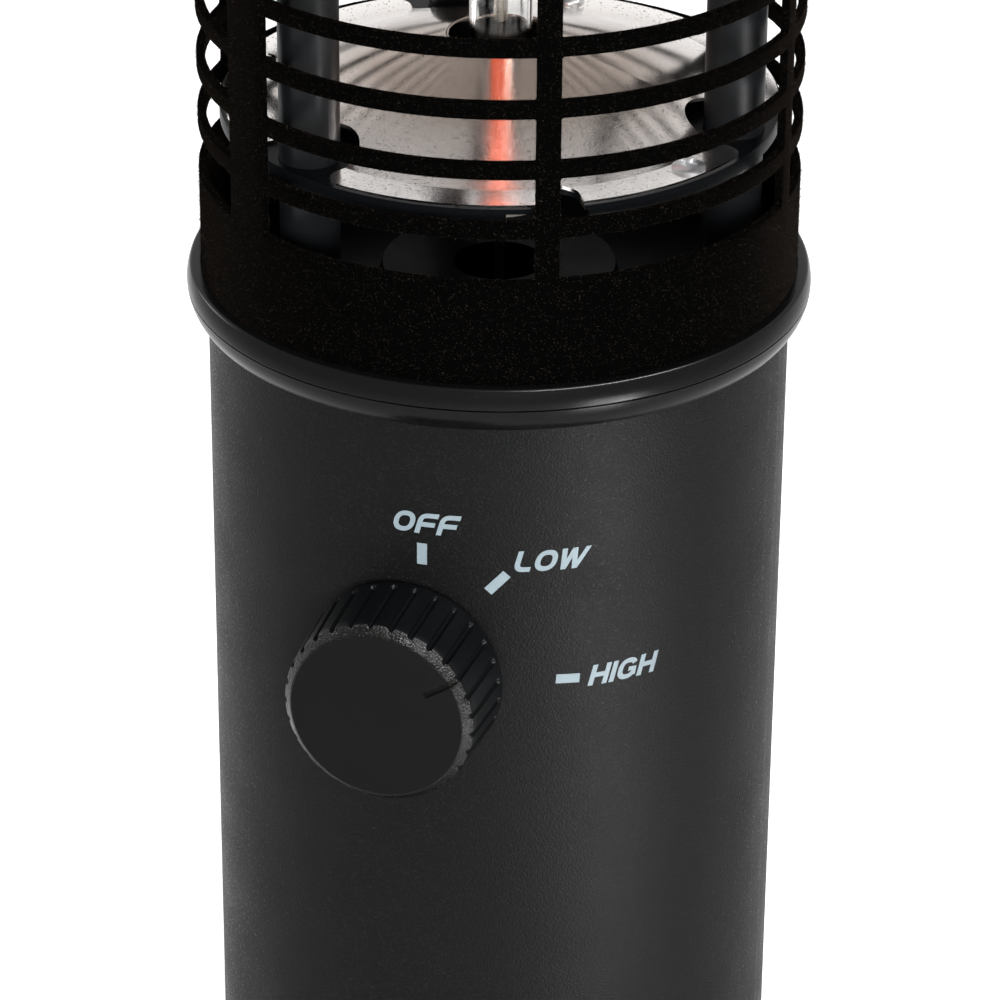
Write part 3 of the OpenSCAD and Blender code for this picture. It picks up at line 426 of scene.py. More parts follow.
def slotOutline(c):
    # unit description of a rounded rectangle: place between the corners from -1 to 1, direction of the
    # offset, and how the same point moves out to the square border of its cell
    corner = np.linspace(0, np.pi / 2, c["cornerSteps"] + 1)
    share = np.linspace(0, 1, c["cornerSteps"] + 1)
    quarters = []
    for k, (sx, sz) in enumerate(((1, 1), (-1, 1), (-1, -1), (1, -1))):
        angle = corner + k * np.pi / 2
        flat = np.where(share < 0.5, 2 * share, 1.0)         # first half runs to the border's corner
        lead = np.where(share < 0.5, 0.0, 2 * share - 1)
        if k % 2 == 0:
            borderX, borderZ = 1 - lead, flat
        else:
            borderX, borderZ = flat, 1 - lead
        quarters.append(np.stack([0 * angle + sx, 0 * angle + sz, np.cos(angle), np.sin(angle),
                                  borderX, borderZ], -1))
        steps = c["sideSteps"] if k % 2 == 0 else c["riseSteps"]
        run = np.linspace(0, 1, steps + 1)[1:-1]
        nextSign = ((-1, 1), (-1, -1), (1, -1), (1, 1))[k]
        normal = ((0, 1), (-1, 0), (0, -1), (1, 0))[k]
        borders = (0 * run, 0 * run + 1) if k % 2 == 0 else (0 * run + 1, 0 * run)
        quarters.append(np.stack([sx + (nextSign[0] - sx) * run, sz + (nextSign[1] - sz) * run,
                                  0 * run + normal[0], 0 * run + normal[1], *borders], -1))
    return np.concatenate(quarters)


def cageSurface(c):
    # every slot is a closed loop; its grid runs from the cell's border on the outside, over the soft edge,
    # through the slot and back to the border on the inside
    outline = slotOutline(c)
    signX, signZ, dirX, dirZ, outX, outZ = outline.T
    turn = np.linspace(0, np.pi / 2, c["edgeSteps"] + 1)
    offset = c["edge"] * (1 - np.sin(turn))
    sink = c["edge"] * (1 - np.cos(turn))
    offset = np.concatenate([offset, offset[::-1]])[:, None]
    depth = np.concatenate([sink, c["wall"] - sink[::-1]])[:, None]
    half = math.asin(c["uprightHalf"] / c["radius"])
    seam = math.asin(c["seamSide"] / c["radius"])
    centres = np.radians(c["firstUpright"] + 360 / c["uprights"] * np.arange(-1, c["uprights"]))
    pitch = c["slot"] + c["bar"]
    rowMiddle = c["foot"] + c["band"] + c["slot"] / 2 + pitch * np.arange(c["rows"])
    halfHigh, borderHigh = c["slot"] / 2, pitch / 2
    grids, rim = [], []
    for k in range(c["uprights"]):
        left, right = centres[k] + half, centres[k + 1] - (seam if k == c["uprights"] - 1 else half)
        middle, halfWide = (left + right) / 2, (right - left) / 2 * c["radius"]
        borderX = np.where(signX > 0, centres[k + 1] - middle, middle - centres[k]) * c["radius"]
        inX, inZ = (halfWide - c["corner"]) * signX, (halfHigh - c["corner"]) * signZ
        sideX = inX + (c["corner"] + offset) * dirX
        sideZ = inZ + (c["corner"] + offset) * dirZ
        edgeX = inX + (np.sign(signX) * borderX - inX) * outX
        edgeZ = inZ + (np.sign(signZ) * borderHigh - inZ) * outZ
        acrossX = np.concatenate([edgeX[None], sideX, edgeX[None]])
        acrossZ = np.concatenate([edgeZ[None], sideZ, edgeZ[None]])
        radius = c["radius"] - np.concatenate([[[0.0]], depth, [[c["wall"]]]])
        angle = middle + acrossX / c["radius"]
        for row in rowMiddle:
            grids.append(around(radius + 0 * angle, angle, row + acrossZ))
        onFoot = np.abs(edgeZ + borderHigh) < c["near"]
        rim.append(np.sort(middle + edgeX[onFoot] / c["radius"]))
    rimAngle = np.unique(np.round(np.concatenate(rim), 9))
    rimAngle = rimAngle[rimAngle < rimAngle[0] + 2 * np.pi - 1e-6]
    for start, end in ((rowMiddle[0] - borderHigh, c["foot"]), (rowMiddle[-1] + borderHigh, c["head"])):
        away = np.sign(end - start)
        rise = np.linspace(start, end - away * c["edge"], c["bandSteps"])
        lip = end - away * c["edge"] * (1 - np.sin(turn[1:]))
        height = np.concatenate([rise, lip, lip[::-1], rise[::-1]])[:, None]
        sunk = np.concatenate([0 * rise, sink[1:], c["wall"] - sink[1:][::-1], 0 * rise + c["wall"]])
        radius = c["radius"] - sunk[:, None]
        grids.append(around(radius + 0 * rimAngle[None], rimAngle[None] + 0 * radius, height))
    return joinGrids(grids)


flockedCage = makePiece("flockedCage", cageSurface(cage), ["flockBlack"], "heater",
                        ["guard_cage"], weld=2e-6)
print("cage:", len(flockedCage.data.polygons), "faces")

fibres = {
    "count": 48000, "length": (0.45 * mm, 1.0 * mm), "width": 0.1 * mm, "rooted": 0.05 * mm,
    "lean": 0.7, "leastRise": 0.15,         # how far a fibre leans, and how flat it may lie
    "outside": 0.8, "inside": -0.7,         # how far a face looks outwards, from -1 to 1
    "edgeShare": 3.0, "insideShare": 0.15,  # fibres stand closer on the edges than on the flat outside
    "tonePower": 3, "colour": (0.0013, 0.0012, 0.0011), "pale": (0.048, 0.038, 0.029),
    "fixed": {"Roughness": 0.85, "Specular IOR Level": 0.0},
}


def makeFibreFinish(look):
    # each fibre carries its own tone, from black to a few brownish ones
    material, tree, shader = newMaterial("flockFibre", look["fixed"])
    tone = tree.nodes.new("ShaderNodeAttribute")
    tone.attribute_name = "tone"
    tint = addTint(tree, tone.outputs["Fac"], (*look["colour"], 1), (*look["pale"], 1))
    feed(tree, tint, shader["Base Color"])
    return material


def readValues(items, key, size=1, kind=float):
    values = np.empty(len(items) * size, dtype=kind)
    items.foreach_get(key, values)
    return values if size == 1 else values.reshape(-1, size)


def flockFibres(host, look):
    # three-sided spikes that stand on the cage's faces, spread by area, leaning at random
    mesh = host.data
    centre, normal = (readValues(mesh.polygons, key, 3) for key in ("center", "normal"))
    area = readValues(mesh.polygons, "area")
    loops = readValues(mesh.loops, "vertex_index", kind=np.int32).reshape(-1, 4)
    corners = readValues(mesh.vertices, "co", 3)[loops]
    facing = (unitRows(centre * np.array([1, 1, 0])) * normal).sum(-1)
    share = area * np.where(facing > look["outside"], 1.0,
                            np.where(facing > look["inside"], look["edgeShare"], look["insideShare"]))
    chosen = chance.choice(len(area), look["count"], p=share / share.sum())
    u, v = chance.random((2, look["count"], 1))
    quad = corners[chosen]
    root = ((1 - u) * ((1 - v) * quad[:, 0] + v * quad[:, 3])
            + u * ((1 - v) * quad[:, 1] + v * quad[:, 2]))
    away = normal[chosen]
    axis = unitRows(away + look["lean"] * chance.normal(size=away.shape))
    axis = np.where((axis * away).sum(-1, keepdims=True) < look["leastRise"], away, axis)
    side = unitRows(np.cross(axis, chance.normal(size=axis.shape)))
    other = np.cross(axis, side)
    turn = np.arange(3) * 2 * np.pi / 3
    foot = root - look["rooted"] * away
    ring = foot[:, None] + look["width"] / 2 * (np.cos(turn)[None, :, None] * side[:, None]
                                                + np.sin(turn)[None, :, None] * other[:, None])
    reach = chance.uniform(*look["length"], (look["count"], 1))
    tip = foot + reach * axis
    spike = np.concatenate([ring, tip[:, None]], 1).reshape(-1, 3)
    first = 4 * np.arange(look["count"])[:, None, None]
    faces = (np.array([[0, 1, 3], [1, 2, 3], [2, 0, 3], [0, 2, 1]])[None] + first).reshape(-1, 3)
    tone = np.repeat(chance.random(look["count"]) ** look["tonePower"], 4)
    return (spike, faces), tone


finishes["flockFibre"] = makeFibreFinish(fibres)
for flockName in ("cageFlock", "cageFlockSecond"):
    fibreSurface, fibreTone = flockFibres(flockedCage, fibres)
    cageFlock = makePiece(flockName, fibreSurface, ["flockFibre"], "heater", weld=1e-9)
    toneLayer = cageFlock.data.attributes.new("tone", "FLOAT", "POINT")
    toneLayer.data.foreach_set("value", fibreTone.astype(np.float32))
print("flock:", 2 * fibres["count"], "fibres")


# Control knob: a turned profile with round grip grooves and a pointer cut into the face

knobLow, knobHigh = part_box("control_knob")
knob = {
    "height": (knobLow.z + knobHigh.z) / 2, "rear": -knobHigh.y, "front": -knobLow.y,
    "rearRadius": 24.0 * mm, "frontRadius": 23.05 * mm, "faceRadius": 21.0 * mm, "chamfer": 2.2 * mm,
    "grooves": 29, "grooveHalf": 0.8 * mm, "grooveStop": 2.6 * mm,
    "pointerAngle": 57.3, "pointerStart": 13.5 * mm, "pointerWidth": 1.3 * mm, "pointerDepth": 0.7 * mm,
    "skirtInside": 20.8 * mm, "faceWall": 3.4 * mm, "bossRadius": 6.5 * mm, "bossRear": 1.1 * mm,
    "bore": 3.05 * mm, "stepsPerGroove": 30,
    "innerChamfer": 0.3 * mm, "rearRound": 0.4 * mm, "faceRound": 0.25 * mm,
    "endRun": 1.6 * mm, "endSteps": 14,            # fine rows round the grooves' rear ends
    "sideStart": 5 * mm, "sideStop": 0.15 * mm, "sideSteps": 8,
    "edgeRange": (0.06, 0.94), "edgeSteps": 8,
    "pointerLead": 0.6 * mm, "faceSteps": 26,      # fine rings under the pointer
    "middle": 12 * mm, "middleSteps": 8,
    "pointerSoft": 0.25 * mm, "pointerOver": 0.1 * mm, "pointerRun": 0.4 * mm, "pointerReach": 0.2 * mm,
}


def soft(value):
    value = np.clip(value, 0, 1)
    return value * value * (3 - 2 * value)


def knobSurface(k):
    # radius and depth of the profile; grooves pull the radius in, and the pointer pulls the face back
    rear, front = k["rear"], k["front"]
    floor, boss, shoulder = front - k["faceWall"], rear + k["bossRear"], front - k["chamfer"]
    inside = [(0, floor), (k["bore"], floor), (k["bore"], boss), (k["bossRadius"], boss),
              (k["bossRadius"], floor), (k["skirtInside"], floor),
              (k["skirtInside"], rear + k["innerChamfer"]), (k["skirtInside"] + k["innerChamfer"], rear)]
    endRows = np.linspace(rear + k["rearRound"], rear + k["grooveStop"] + k["endRun"], k["endSteps"])
    sideRows = np.linspace(rear + k["sideStart"], shoulder - k["sideStop"], k["sideSteps"])
    sideDepth = np.concatenate([endRows, sideRows])
    lean = (sideDepth - rear) / (shoulder - rear)
    side = np.stack([k["rearRadius"] + (k["frontRadius"] - k["rearRadius"]) * lean, sideDepth], -1)
    cutDown = np.linspace(*k["edgeRange"], k["edgeSteps"])
    edge = np.stack([k["frontRadius"] + (k["faceRadius"] - k["frontRadius"]) * cutDown,
                     shoulder + k["chamfer"] * cutDown], -1)
    outerRing, innerRing = k["faceRadius"] - k["faceRound"], k["pointerStart"] - k["pointerLead"]
    ring = np.concatenate([np.linspace(outerRing, innerRing, k["faceSteps"]),
                           np.linspace(k["middle"], 0, k["middleSteps"])])
    face = np.stack([ring, 0 * ring + front], -1)
    rim = [(k["rearRadius"] - k["rearRound"], rear)]
    profile = np.concatenate([np.array(inside), np.array(rim), side, edge, face])
    # finish of each row: 0 for inside and face, 1 for the grip, 2 for the chamfer
    part = np.concatenate([np.zeros(len(inside) + 1), np.ones(len(side)), np.full(len(edge), 2),
                           np.zeros(len(face))])
    steps = k["grooves"] * k["stepsPerGroove"]
    angle = np.arange(steps) * 2 * np.pi / steps
    radius, depth = profile[:, 0:1] + 0 * angle, profile[:, 1:2] + 0 * angle
    swing = (angle * k["grooves"] / (2 * np.pi) + 0.5) % 1 - 0.5
    fromGroove = np.abs(swing) * 2 * np.pi * k["rearRadius"] / k["grooves"]
    outer = (part[:, None] == 1) | (part[:, None] == 2)
    behind = np.minimum(depth - rear - k["grooveStop"], 0)     # the cutter's ball end at the rear
    hollow = np.sqrt(np.clip(k["grooveHalf"] ** 2 - fromGroove ** 2 - behind ** 2, 0, None))
    taper = np.clip((depth - rear) / (shoulder - rear), 0, 1)
    surface = k["rearRadius"] + (k["frontRadius"] - k["rearRadius"]) * taper
    drop = np.maximum(radius - surface + hollow, 0) * (hollow > 0) * outer
    radius = radius - drop
    offLine = np.abs(radius * np.sin(angle))
    along = radius * np.cos(angle)
    inPointer = (soft((k["pointerWidth"] / 2 + k["pointerOver"] - offLine) / k["pointerSoft"])
                 * soft((along - k["pointerStart"]) / k["pointerRun"]))
    onFace = (profile[:, 1:2] > front - k["pointerReach"]) | (part[:, None] == 2)
    depth = depth - k["pointerDepth"] * inPointer * onFace
    turned = angle + math.radians(k["pointerAngle"])
    grid = np.stack([radius * np.sin(turned), -depth, k["height"] + radius * np.cos(turned)], -1)
    kind = np.maximum(part[:-1], part[1:])
    kind = np.where((part[:-1] == 1) & (part[1:] == 2), 1, kind)
    return grid, np.repeat(kind, steps)


knobGrid, knobKinds = knobSurface(knob)
switchKnob = makePiece("switchKnob", joinGrids([knobGrid]),
                       ["knobFace", "knobGrip", "knobEdge"], "knob", ["control_knob"],
                       faceMaterial=knobKinds)
print("knob:", len(switchKnob.data.polygons), "faces")


# Printed marks on the column: three words and three ticks, drawn as strokes and wrapped on the tube

marks = {
    "radius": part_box("column_tube")[1].x, "ink": 0.03 * mm, "sunk": 0.02 * mm,
    "liftStep": 0.0004 * mm,       # each stroke lies this much above the last, for clean crossings
    "capHeight": 5.4 * mm, "stroke": 0.225, "slant": 0.27, "gap": 0.1,
    "words": (("OFF", 3.65, 301.9 * mm, 16.9 * mm), ("LOW", 27.8, 293.0 * mm, 18.5 * mm),
              ("HIGH", 42.9, 260.8 * mm, 18.8 * mm)),
    "tickWidth": 2.4 * mm, "tickSteps": 5,
    "ticks": (((2.9, 291.1 * mm), (2.9, 296.6 * mm)), ((15.6, 285.2 * mm), (19.2, 289.8 * mm)),
              ((28.9, 261.1 * mm), (33.6, 260.7 * mm))),
}


def roundTo(start, corner, end, steps=6):
    # a quarter bend from one point to the next by way of a corner
    t = np.linspace(0, 1, steps)[:, None]
    return (1 - t) ** 2 * np.array(start) + 2 * t * (1 - t) * np.array(corner) + t ** 2 * np.array(end)


def ovalLine(turn, power, middle, h):
    x, z = np.cos(turn), np.sin(turn)
    return np.stack([np.sign(x) * np.abs(x) ** power * (middle - h) + middle,
                     np.sign(z) * np.abs(z) ** power * (0.5 - h) + 0.5], -1)


def letterStrokes(letter, w):
    # centre lines in units of the cap height, and the letter's width; w is the stroke's width
    h = w / 2
    if letter == "O":
        return [ovalLine(np.linspace(0, 2 * np.pi, 41), 0.85, 0.47, h)], 0.94
    if letter == "F":
        arm = np.concatenate([[(h, 0)], roundTo((h, 0.6), (h, 1 - h), (0.42, 1 - h)), [(0.86, 1 - h)]])
        return [arm, np.array([(h, 0.45), (0.5, 0.45), (0.8, 0.45)])], 0.86
    if letter == "L":
        return [np.concatenate([[(h, 1)], roundTo((h, 0.4), (h, h), (0.4, h)), [(0.72, h)]])], 0.74
    if letter == "W":
        legs = [((h, 1), (0.27, 0)), ((0.27, 0), (0.57, 1)), ((0.57, 1), (0.76, 0)), ((0.76, 0), (1.16, 1))]
        return [np.array(leg) for leg in legs], 1.22
    if letter == "H":
        return [np.array([(h, 0), (h, 1)]), np.array([(h, 0.5), (0.86 - h, 0.5)]),
                np.array([(0.86 - h, 0), (0.86 - h, 1)])], 0.86
    if letter == "I":
        return [np.array([(h, 0), (h, 1)])], w
    # G is an open oval with a bar
    openOval = ovalLine(np.linspace(0.16 * np.pi, 1.9 * np.pi, 33), 0.8, 0.45, h)
    hook = np.array([(0.5, 0.46), (0.9 - h, 0.46), (0.9 - h, 0.14)])
    return [openOval, hook], 0.9


def strokeBand(line, width, level):
    # a flat band along a centre line: straight legs end level, bends follow the line's normal
    line = np.asarray(line, float)
    along = np.gradient(line, axis=0)
    normal = unitRows(np.stack([-along[:, 1], along[:, 0]], -1))
    if len(line) == 2 and level:
        normal = np.array([[-1.0, 0.0], [-1.0, 0.0]])
    return np.stack([line + width / 2 * normal, line - width / 2 * normal], 1)


def printedMarks(m):
    grids, lift = [], 0

    def wrap(flat):
        nonlocal lift
        lift += 1
        angle = flat[..., 0] / m["radius"]
        top = around(m["radius"] + m["ink"] + lift * m["liftStep"] + 0 * angle, angle, flat[..., 1])
        under = around(m["radius"] - m["sunk"] + 0 * angle, angle, flat[..., 1])
        ring = np.stack([top[:, 0], top[:, 1], under[:, 1], under[:, 0]], 1)
        caps = ring[[0, -1]].mean(1, keepdims=True).repeat(4, 1)
        grids.append(np.concatenate([caps[:1], ring, caps[1:]]))

    for word, angle, height, width in m["words"]:
        strokes, pen = [], 0.0
        for letter in word:
            lines, wide = letterStrokes(letter, m["stroke"])
            strokes += [strokeBand(line + np.array([pen, 0]), m["stroke"], line[0][1] != line[-1][1])
                        for line in lines]
            pen += wide + m["gap"]
        pen -= m["gap"]
        for band in strokes:
            x = (band[..., 0] / pen - 0.5) * (width - m["slant"] * m["capHeight"])
            x = x + m["slant"] * (band[..., 1] - 0.5) * m["capHeight"]
            z = height + (band[..., 1] - 0.5) * m["capHeight"]
            wrap(np.stack([x + math.radians(angle) * m["radius"], z], -1))
    for low, high in m["ticks"]:
        ends = np.array([(math.radians(a) * m["radius"], z) for a, z in (low, high)])
        line = ends[0] + np.linspace(0, 1, m["tickSteps"])[:, None] * (ends[1] - ends[0])
        wrap(strokeBand(line, m["tickWidth"], False))
    return joinGrids(grids)


makePiece("printedMarks", printedMarks(marks), ["printInk"], "heater", weld=1e-8)
print("marks printed")


# Rolled rims round the holes in the reflectors' middles

holeRim = {"radius": 12.8 * mm, "bead": 0.55 * mm, "sunk": 0.35 * mm, "sides": 16, "steps": 128}
beadTurn = np.linspace(0, 2 * np.pi, holeRim["sides"], endpoint=False)
rimGrids = []
for rimHeight in (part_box("lower_reflector")[1].z - holeRim["sunk"],
                  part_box("upper_reflector")[0].z + holeRim["sunk"]):
    beadProfile = np.stack([holeRim["radius"] + holeRim["bead"] * np.cos(beadTurn),
                            rimHeight + holeRim["bead"] * np.sin(beadTurn)], -1)
    rimGrids.append(lathe(beadProfile, holeRim["steps"]))
makePiece("holeRims", joinGrids(rimGrids, closeRows=True), ["brightSheet"], "heater")
print("hole rims made")


# Glowing coil, plunger spring and inner wires

coilLow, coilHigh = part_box("heating_filament")
coil = {"foot": coilLow.z, "head": coilHigh.z, "radius": 3.4 * mm, "wire": 1.3 * mm, "turns": 44,
        "stepsPerTurn": 24, "sides": 10, "reference": np.array([0.3, 0.2, 1.0])}


def coilPath(c):
    # a helix whose radius swells from the axis over the first turn and closes again over the last
    n = c["turns"] * c["stepsPerTurn"]
    i = np.arange(n + 1)
    swell = c["radius"] * np.minimum(soft(i / c["stepsPerTurn"]), soft((n - i) / c["stepsPerTurn"]))
    angle = 2 * np.pi * i / c["stepsPerTurn"]
    height = c["foot"] + c["wire"] + (c["head"] - c["foot"] - 2 * c["wire"]) * i / n
    turns = np.stack([swell * np.cos(angle), swell * np.sin(angle), height], -1)
    ends = np.array([[0, 0, c["foot"]], [0, 0, c["head"]]])
    return np.concatenate([ends[:1], turns, ends[1:]])


coilTube = tubeGrid(coilPath(coil), coil["wire"] / 2, coil["sides"], coil["reference"])
makePiece("glowingCoil", joinGrids([coilTube]), ["glowingWire"], "heater",
          ["heating_filament"])

springLow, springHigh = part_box("tip_spring")
spring = {"foot": springLow.z, "head": springHigh.z, "radius": 5.75 * mm, "wire": 0.9 * mm, "turns": 5,
          "stepsPerTurn": 32, "sides": 10, "reference": np.array([0.0, 0.0, 1.0])}


def springPath(s):
    # a plain helix between the plunger's collar and the barrel's roof
    i = np.linspace(0, 1, s["turns"] * s["stepsPerTurn"] + 1)
    angle = 2 * np.pi * s["turns"] * i
    height = s["foot"] + s["wire"] / 2 + (s["head"] - s["foot"] - s["wire"]) * i
    return np.stack([s["radius"] * np.cos(angle), s["radius"] * np.sin(angle), height], -1)


springTube = tubeGrid(springPath(spring), spring["wire"] / 2, spring["sides"], spring["reference"])
plungerSpring = makePiece("plungerSpring", joinGrids([springTube]), ["platedSteel"], None,
                          ["tip_spring"])
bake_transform(plungerSpring)

wires = {"radius": 1.2 * mm, "sides": 14, "steps": 8, "terminal": 10 * mm}


def wireRoutes(w):
    # the same points as the solids follow, taken from the pieces that the wires join
    holder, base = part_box("lower_lampholder"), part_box("lamp_bases")
    block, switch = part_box("terminal_block"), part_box("rotary_switch")
    micro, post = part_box("tip_microswitch"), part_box("post_rear")
    knobZ, columnTop = knob["height"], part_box("column_tube")[1].z
    plateTop = post[0].z
    seat = base[0].z
    back = switch[1].y
    blockTop, blockFoot, blockY = block[1].z, block[0].z, (block[0].y + block[1].y) / 2
    foot = np.array([(post[0].x + post[1].x) / 2, (post[0].y + post[1].y) / 2, 0])
    inward = -foot / np.linalg.norm(foot)
    up = np.array([0, 0, 1.0])
    middle = (cage["foot"] + cage["head"]) / 2
    exitZ = post[1].z - 28 * mm
    holderTop = np.array([0, 0, 2 * middle - holder[0].z])
    x = w["terminal"]
    lower = [(0, 0, seat), (0, 0, holder[0].z), (0, 0, columnTop), (0, -4 * mm, columnTop - 30 * mm),
             (0, -14 * mm, knobZ + 16 * mm), (0, -26 * mm, knobZ + mm), (0, back + 6 * mm, knobZ),
             (0, back, knobZ)]
    upper = [(-x, blockY, blockTop), (-x, blockY, blockTop + 8 * mm),
             foot + (blockTop + 60 * mm) * up + 4 * mm * inward]
    inPost = (columnTop - 40 * mm, plateTop, middle, exitZ - 20 * mm, exitZ - 9 * mm)
    upper += [foot + z * up for z in inPost]
    upper += [foot + exitZ * up + 3 * mm * inward, foot + (exitZ + mm) * up + 20 * mm * inward,
              holderTop + 7 * mm * up - 16 * mm * inward, holderTop + 9 * mm * up - 7 * mm * inward,
              holderTop + 6.5 * mm * up - 1.2 * mm * inward, holderTop + 2 * mm * up,
              holderTop - 2 * mm * up, holderTop - 6 * mm * up]
    switched = [(x, blockY, blockTop), (x, blockY, blockTop + 8 * mm),
                (x, blockY - 6 * mm, blockTop + 60 * mm), (x, 0, knobZ - 6 * mm), (x, back + 6 * mm, knobZ),
                (x, back, knobZ)]
    tipped = [(0, 0, micro[1].z), (0, 0, micro[1].z + 4 * mm), (0, 10 * mm, blockFoot - 26 * mm),
              (0, blockY, blockFoot - 10 * mm), (0, blockY, blockFoot)]
    across = np.array([inward[1], -inward[0], 0])
    sideways = np.array([1.0, 0, 0])
    return [(lower, sideways), (upper, across), (switched, sideways), (tipped, sideways)]


wireTubes = [tubeGrid(smoothPath(route, wires["steps"]), wires["radius"], wires["sides"], side)
             for route, side in wireRoutes(wires)]
makePiece("innerWires", joinGrids(wireTubes), ["siliconeSleeve"], "heater", ["wiring"])
print("coil, spring and wires made")


# Collar bands round the cage: their bead with rounded edges, which catch a line of light

collar = {
    "bulge": 10.0 * mm,         # radius of the bead that a collar's two bands share
    "middle": 0.8 * mm,         # from the parting line to the bead's middle
    "edge": 1.0 * mm, "parting": 0.3 * mm,        # rounding of the outer edge and at the parting line
    "slip": 0.2 * mm, "edgeSteps": 8, "bulgeSteps": 18, "steps": 256,
}


def collarBand(c, node, way):
    # a closed profile, up from the parting line; way is -1 for the band that hangs under the cap's collar
    low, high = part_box(node)
    tall, bead = high.z - low.z, high.x - c["bulge"]

    def arc(radius, height, size, start, end, steps):
        angle = np.linspace(start, end, steps)
        return np.stack([radius + size * np.cos(angle), height + size * np.sin(angle)], -1)

    foot, head = c["parting"] - c["middle"], tall - c["edge"] - c["middle"]
    footReach, headReach = c["bulge"] - c["parting"], c["bulge"] - c["edge"]
    footTurn, headTurn = math.asin(foot / footReach), math.asin(head / headReach)
    inner = cage["radius"] + c["slip"]
    profile = np.concatenate([
        [[inner, -c["middle"]]],
        arc(bead + footReach * math.cos(footTurn), foot, c["parting"], -np.pi / 2, footTurn,
            c["edgeSteps"]),
        arc(bead, 0, c["bulge"], footTurn, headTurn, c["bulgeSteps"])[1:-1],
        arc(bead + headReach * math.cos(headTurn), head, c["edge"], headTurn, np.pi / 2, c["edgeSteps"]),
        [[inner, tall - c["middle"]]]])
    profile[:, 1] = (low.z if way > 0 else high.z) + way * (profile[:, 1] + c["middle"])
    return joinGrids([lathe(profile, c["steps"])], closeRows=True)


for bandName, node, way in (("footBand", "cage_foot_collar", 1), ("headBand", "cage_head_collar", -1)):
    makePiece(bandName, collarBand(collar, node, way), ["satinPlastic"], "heater", [node])
print("collar bands made")


# Pan-head screws with a cross recess, for the screws that show

screwSets = {
    "reflectorScrews": {"node": "reflector_screws", "head": 3.9 * mm, "rise": 1.7 * mm, "shank": 1.7 * mm,
                        "count": 3, "ring": 61.6 * mm, "start": 61.5,
                        "length": 9 * mm},     # in both reflectors, heads inwards; the others face down
    "baseScrews": {"node": "bottom_screws", "head": 4.0 * mm, "rise": 2.2 * mm, "shank": 2.0 * mm,
                   "count": 4, "ring": 88 * mm, "start": 0.0},
    "housingScrews": {"node": "tip_housing_screws", "head": 3.0 * mm, "rise": 2.2 * mm, "shank": 1.5 * mm,
                      "count": 2, "ring": 12.8 * mm, "start": 90.0},
}
crossHead = {                                      # in shares of the head's radius, rise or shank
    "sides": 64, "turn": 0.4, "rings": np.concatenate([np.linspace(0, 0.72, 16),
                                                       [0.8, 0.87, 0.93, 0.97, 0.99, 1.0]]),
    "drop": 0.62, "dropPower": 3.2, "press": 0.5,
    "armHalf": 0.15, "armSoft": 0.05, "armReach": 0.56, "reachSoft": 0.08,
    "tipLength": 0.7, "tipRadius": 0.3,
}


def screwGrid(c, head, rise, shank, length):
    # a domed head whose middle is pressed in along two crossed arms, on a plain shank that points down
    angle = np.linspace(0, 2 * np.pi, c["sides"], endpoint=False)[None, :]
    share = c["rings"][:, None]
    radius = share * head + 0 * angle
    dome = rise * (1 - c["drop"] * share ** c["dropPower"]) + 0 * angle
    x, y = np.abs(radius * np.cos(angle + c["turn"])), np.abs(radius * np.sin(angle + c["turn"]))

    def arm(across, along):
        return (soft((c["armHalf"] * head - across) / (c["armSoft"] * head))
                * soft((c["armReach"] * head - along) / (c["reachSoft"] * head)))

    dome = dome - c["press"] * rise * np.maximum(arm(x, y), arm(y, x))
    below = np.array([(head, 0), (shank, 0), (shank, c["tipLength"] * shank - length),
                      (c["tipRadius"] * shank, -length), (0, -length)])
    radius = np.concatenate([radius, below[:, 0:1] + 0 * angle])
    height = np.concatenate([dome, below[:, 1:2] + 0 * angle])
    return np.stack([radius * np.cos(angle), radius * np.sin(angle), height], -1)


for screwName, s in screwSets.items():
    low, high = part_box(s["node"])
    length = s.get("length", high.z - low.z - s["rise"])
    seats = [(low.z + length, 1), (high.z - length, -1)] if "length" in s else [(low.z + s["rise"], -1)]
    screwGrids = []
    for seat, way in seats:
        for a in np.radians(s["start"] + 360 / s["count"] * np.arange(s["count"])):
            grid = screwGrid(crossHead, s["head"], s["rise"], s["shank"], length)
            place = np.array([s["ring"] * np.sin(a), -s["ring"] * np.cos(a), seat])
            screwGrids.append(grid * np.array([1, way, way]) + place)
    makePiece(screwName, joinGrids(screwGrids), ["platedSteel"], "heater", [s["node"]])
print("screws made")


# Floor, world and soft boxes

stage = {
    "radius": 6.0, "below": 0.0004, "rings": 12, "steps": 96,
    "floor": {"Base Color": (0.75, 0.75, 0.75, 1), "Roughness": 0.9, "Specular IOR Level": 0.0,
              "Emission Color": (1, 1, 1, 1)},
    "glow": (0.55, 0.85), "reach": (0.12, 0.3),     # the floor's glow next to the heater and further off
    "backdrop": (1, 1, 1, 1), "ambient": (0.18, 1.0),     # what lights the part, and what seen rays get
}


def lightPathMask(tree):
    # one for rays from the camera, mirrors and glass, which see a white surrounding
    rays = tree.nodes.new("ShaderNodeLightPath").outputs
    seen = addMath(tree, "MAXIMUM", rays["Is Camera Ray"], rays["Is Glossy Ray"])
    return addMath(tree, "MAXIMUM", seen, rays["Is Transmission Ray"])


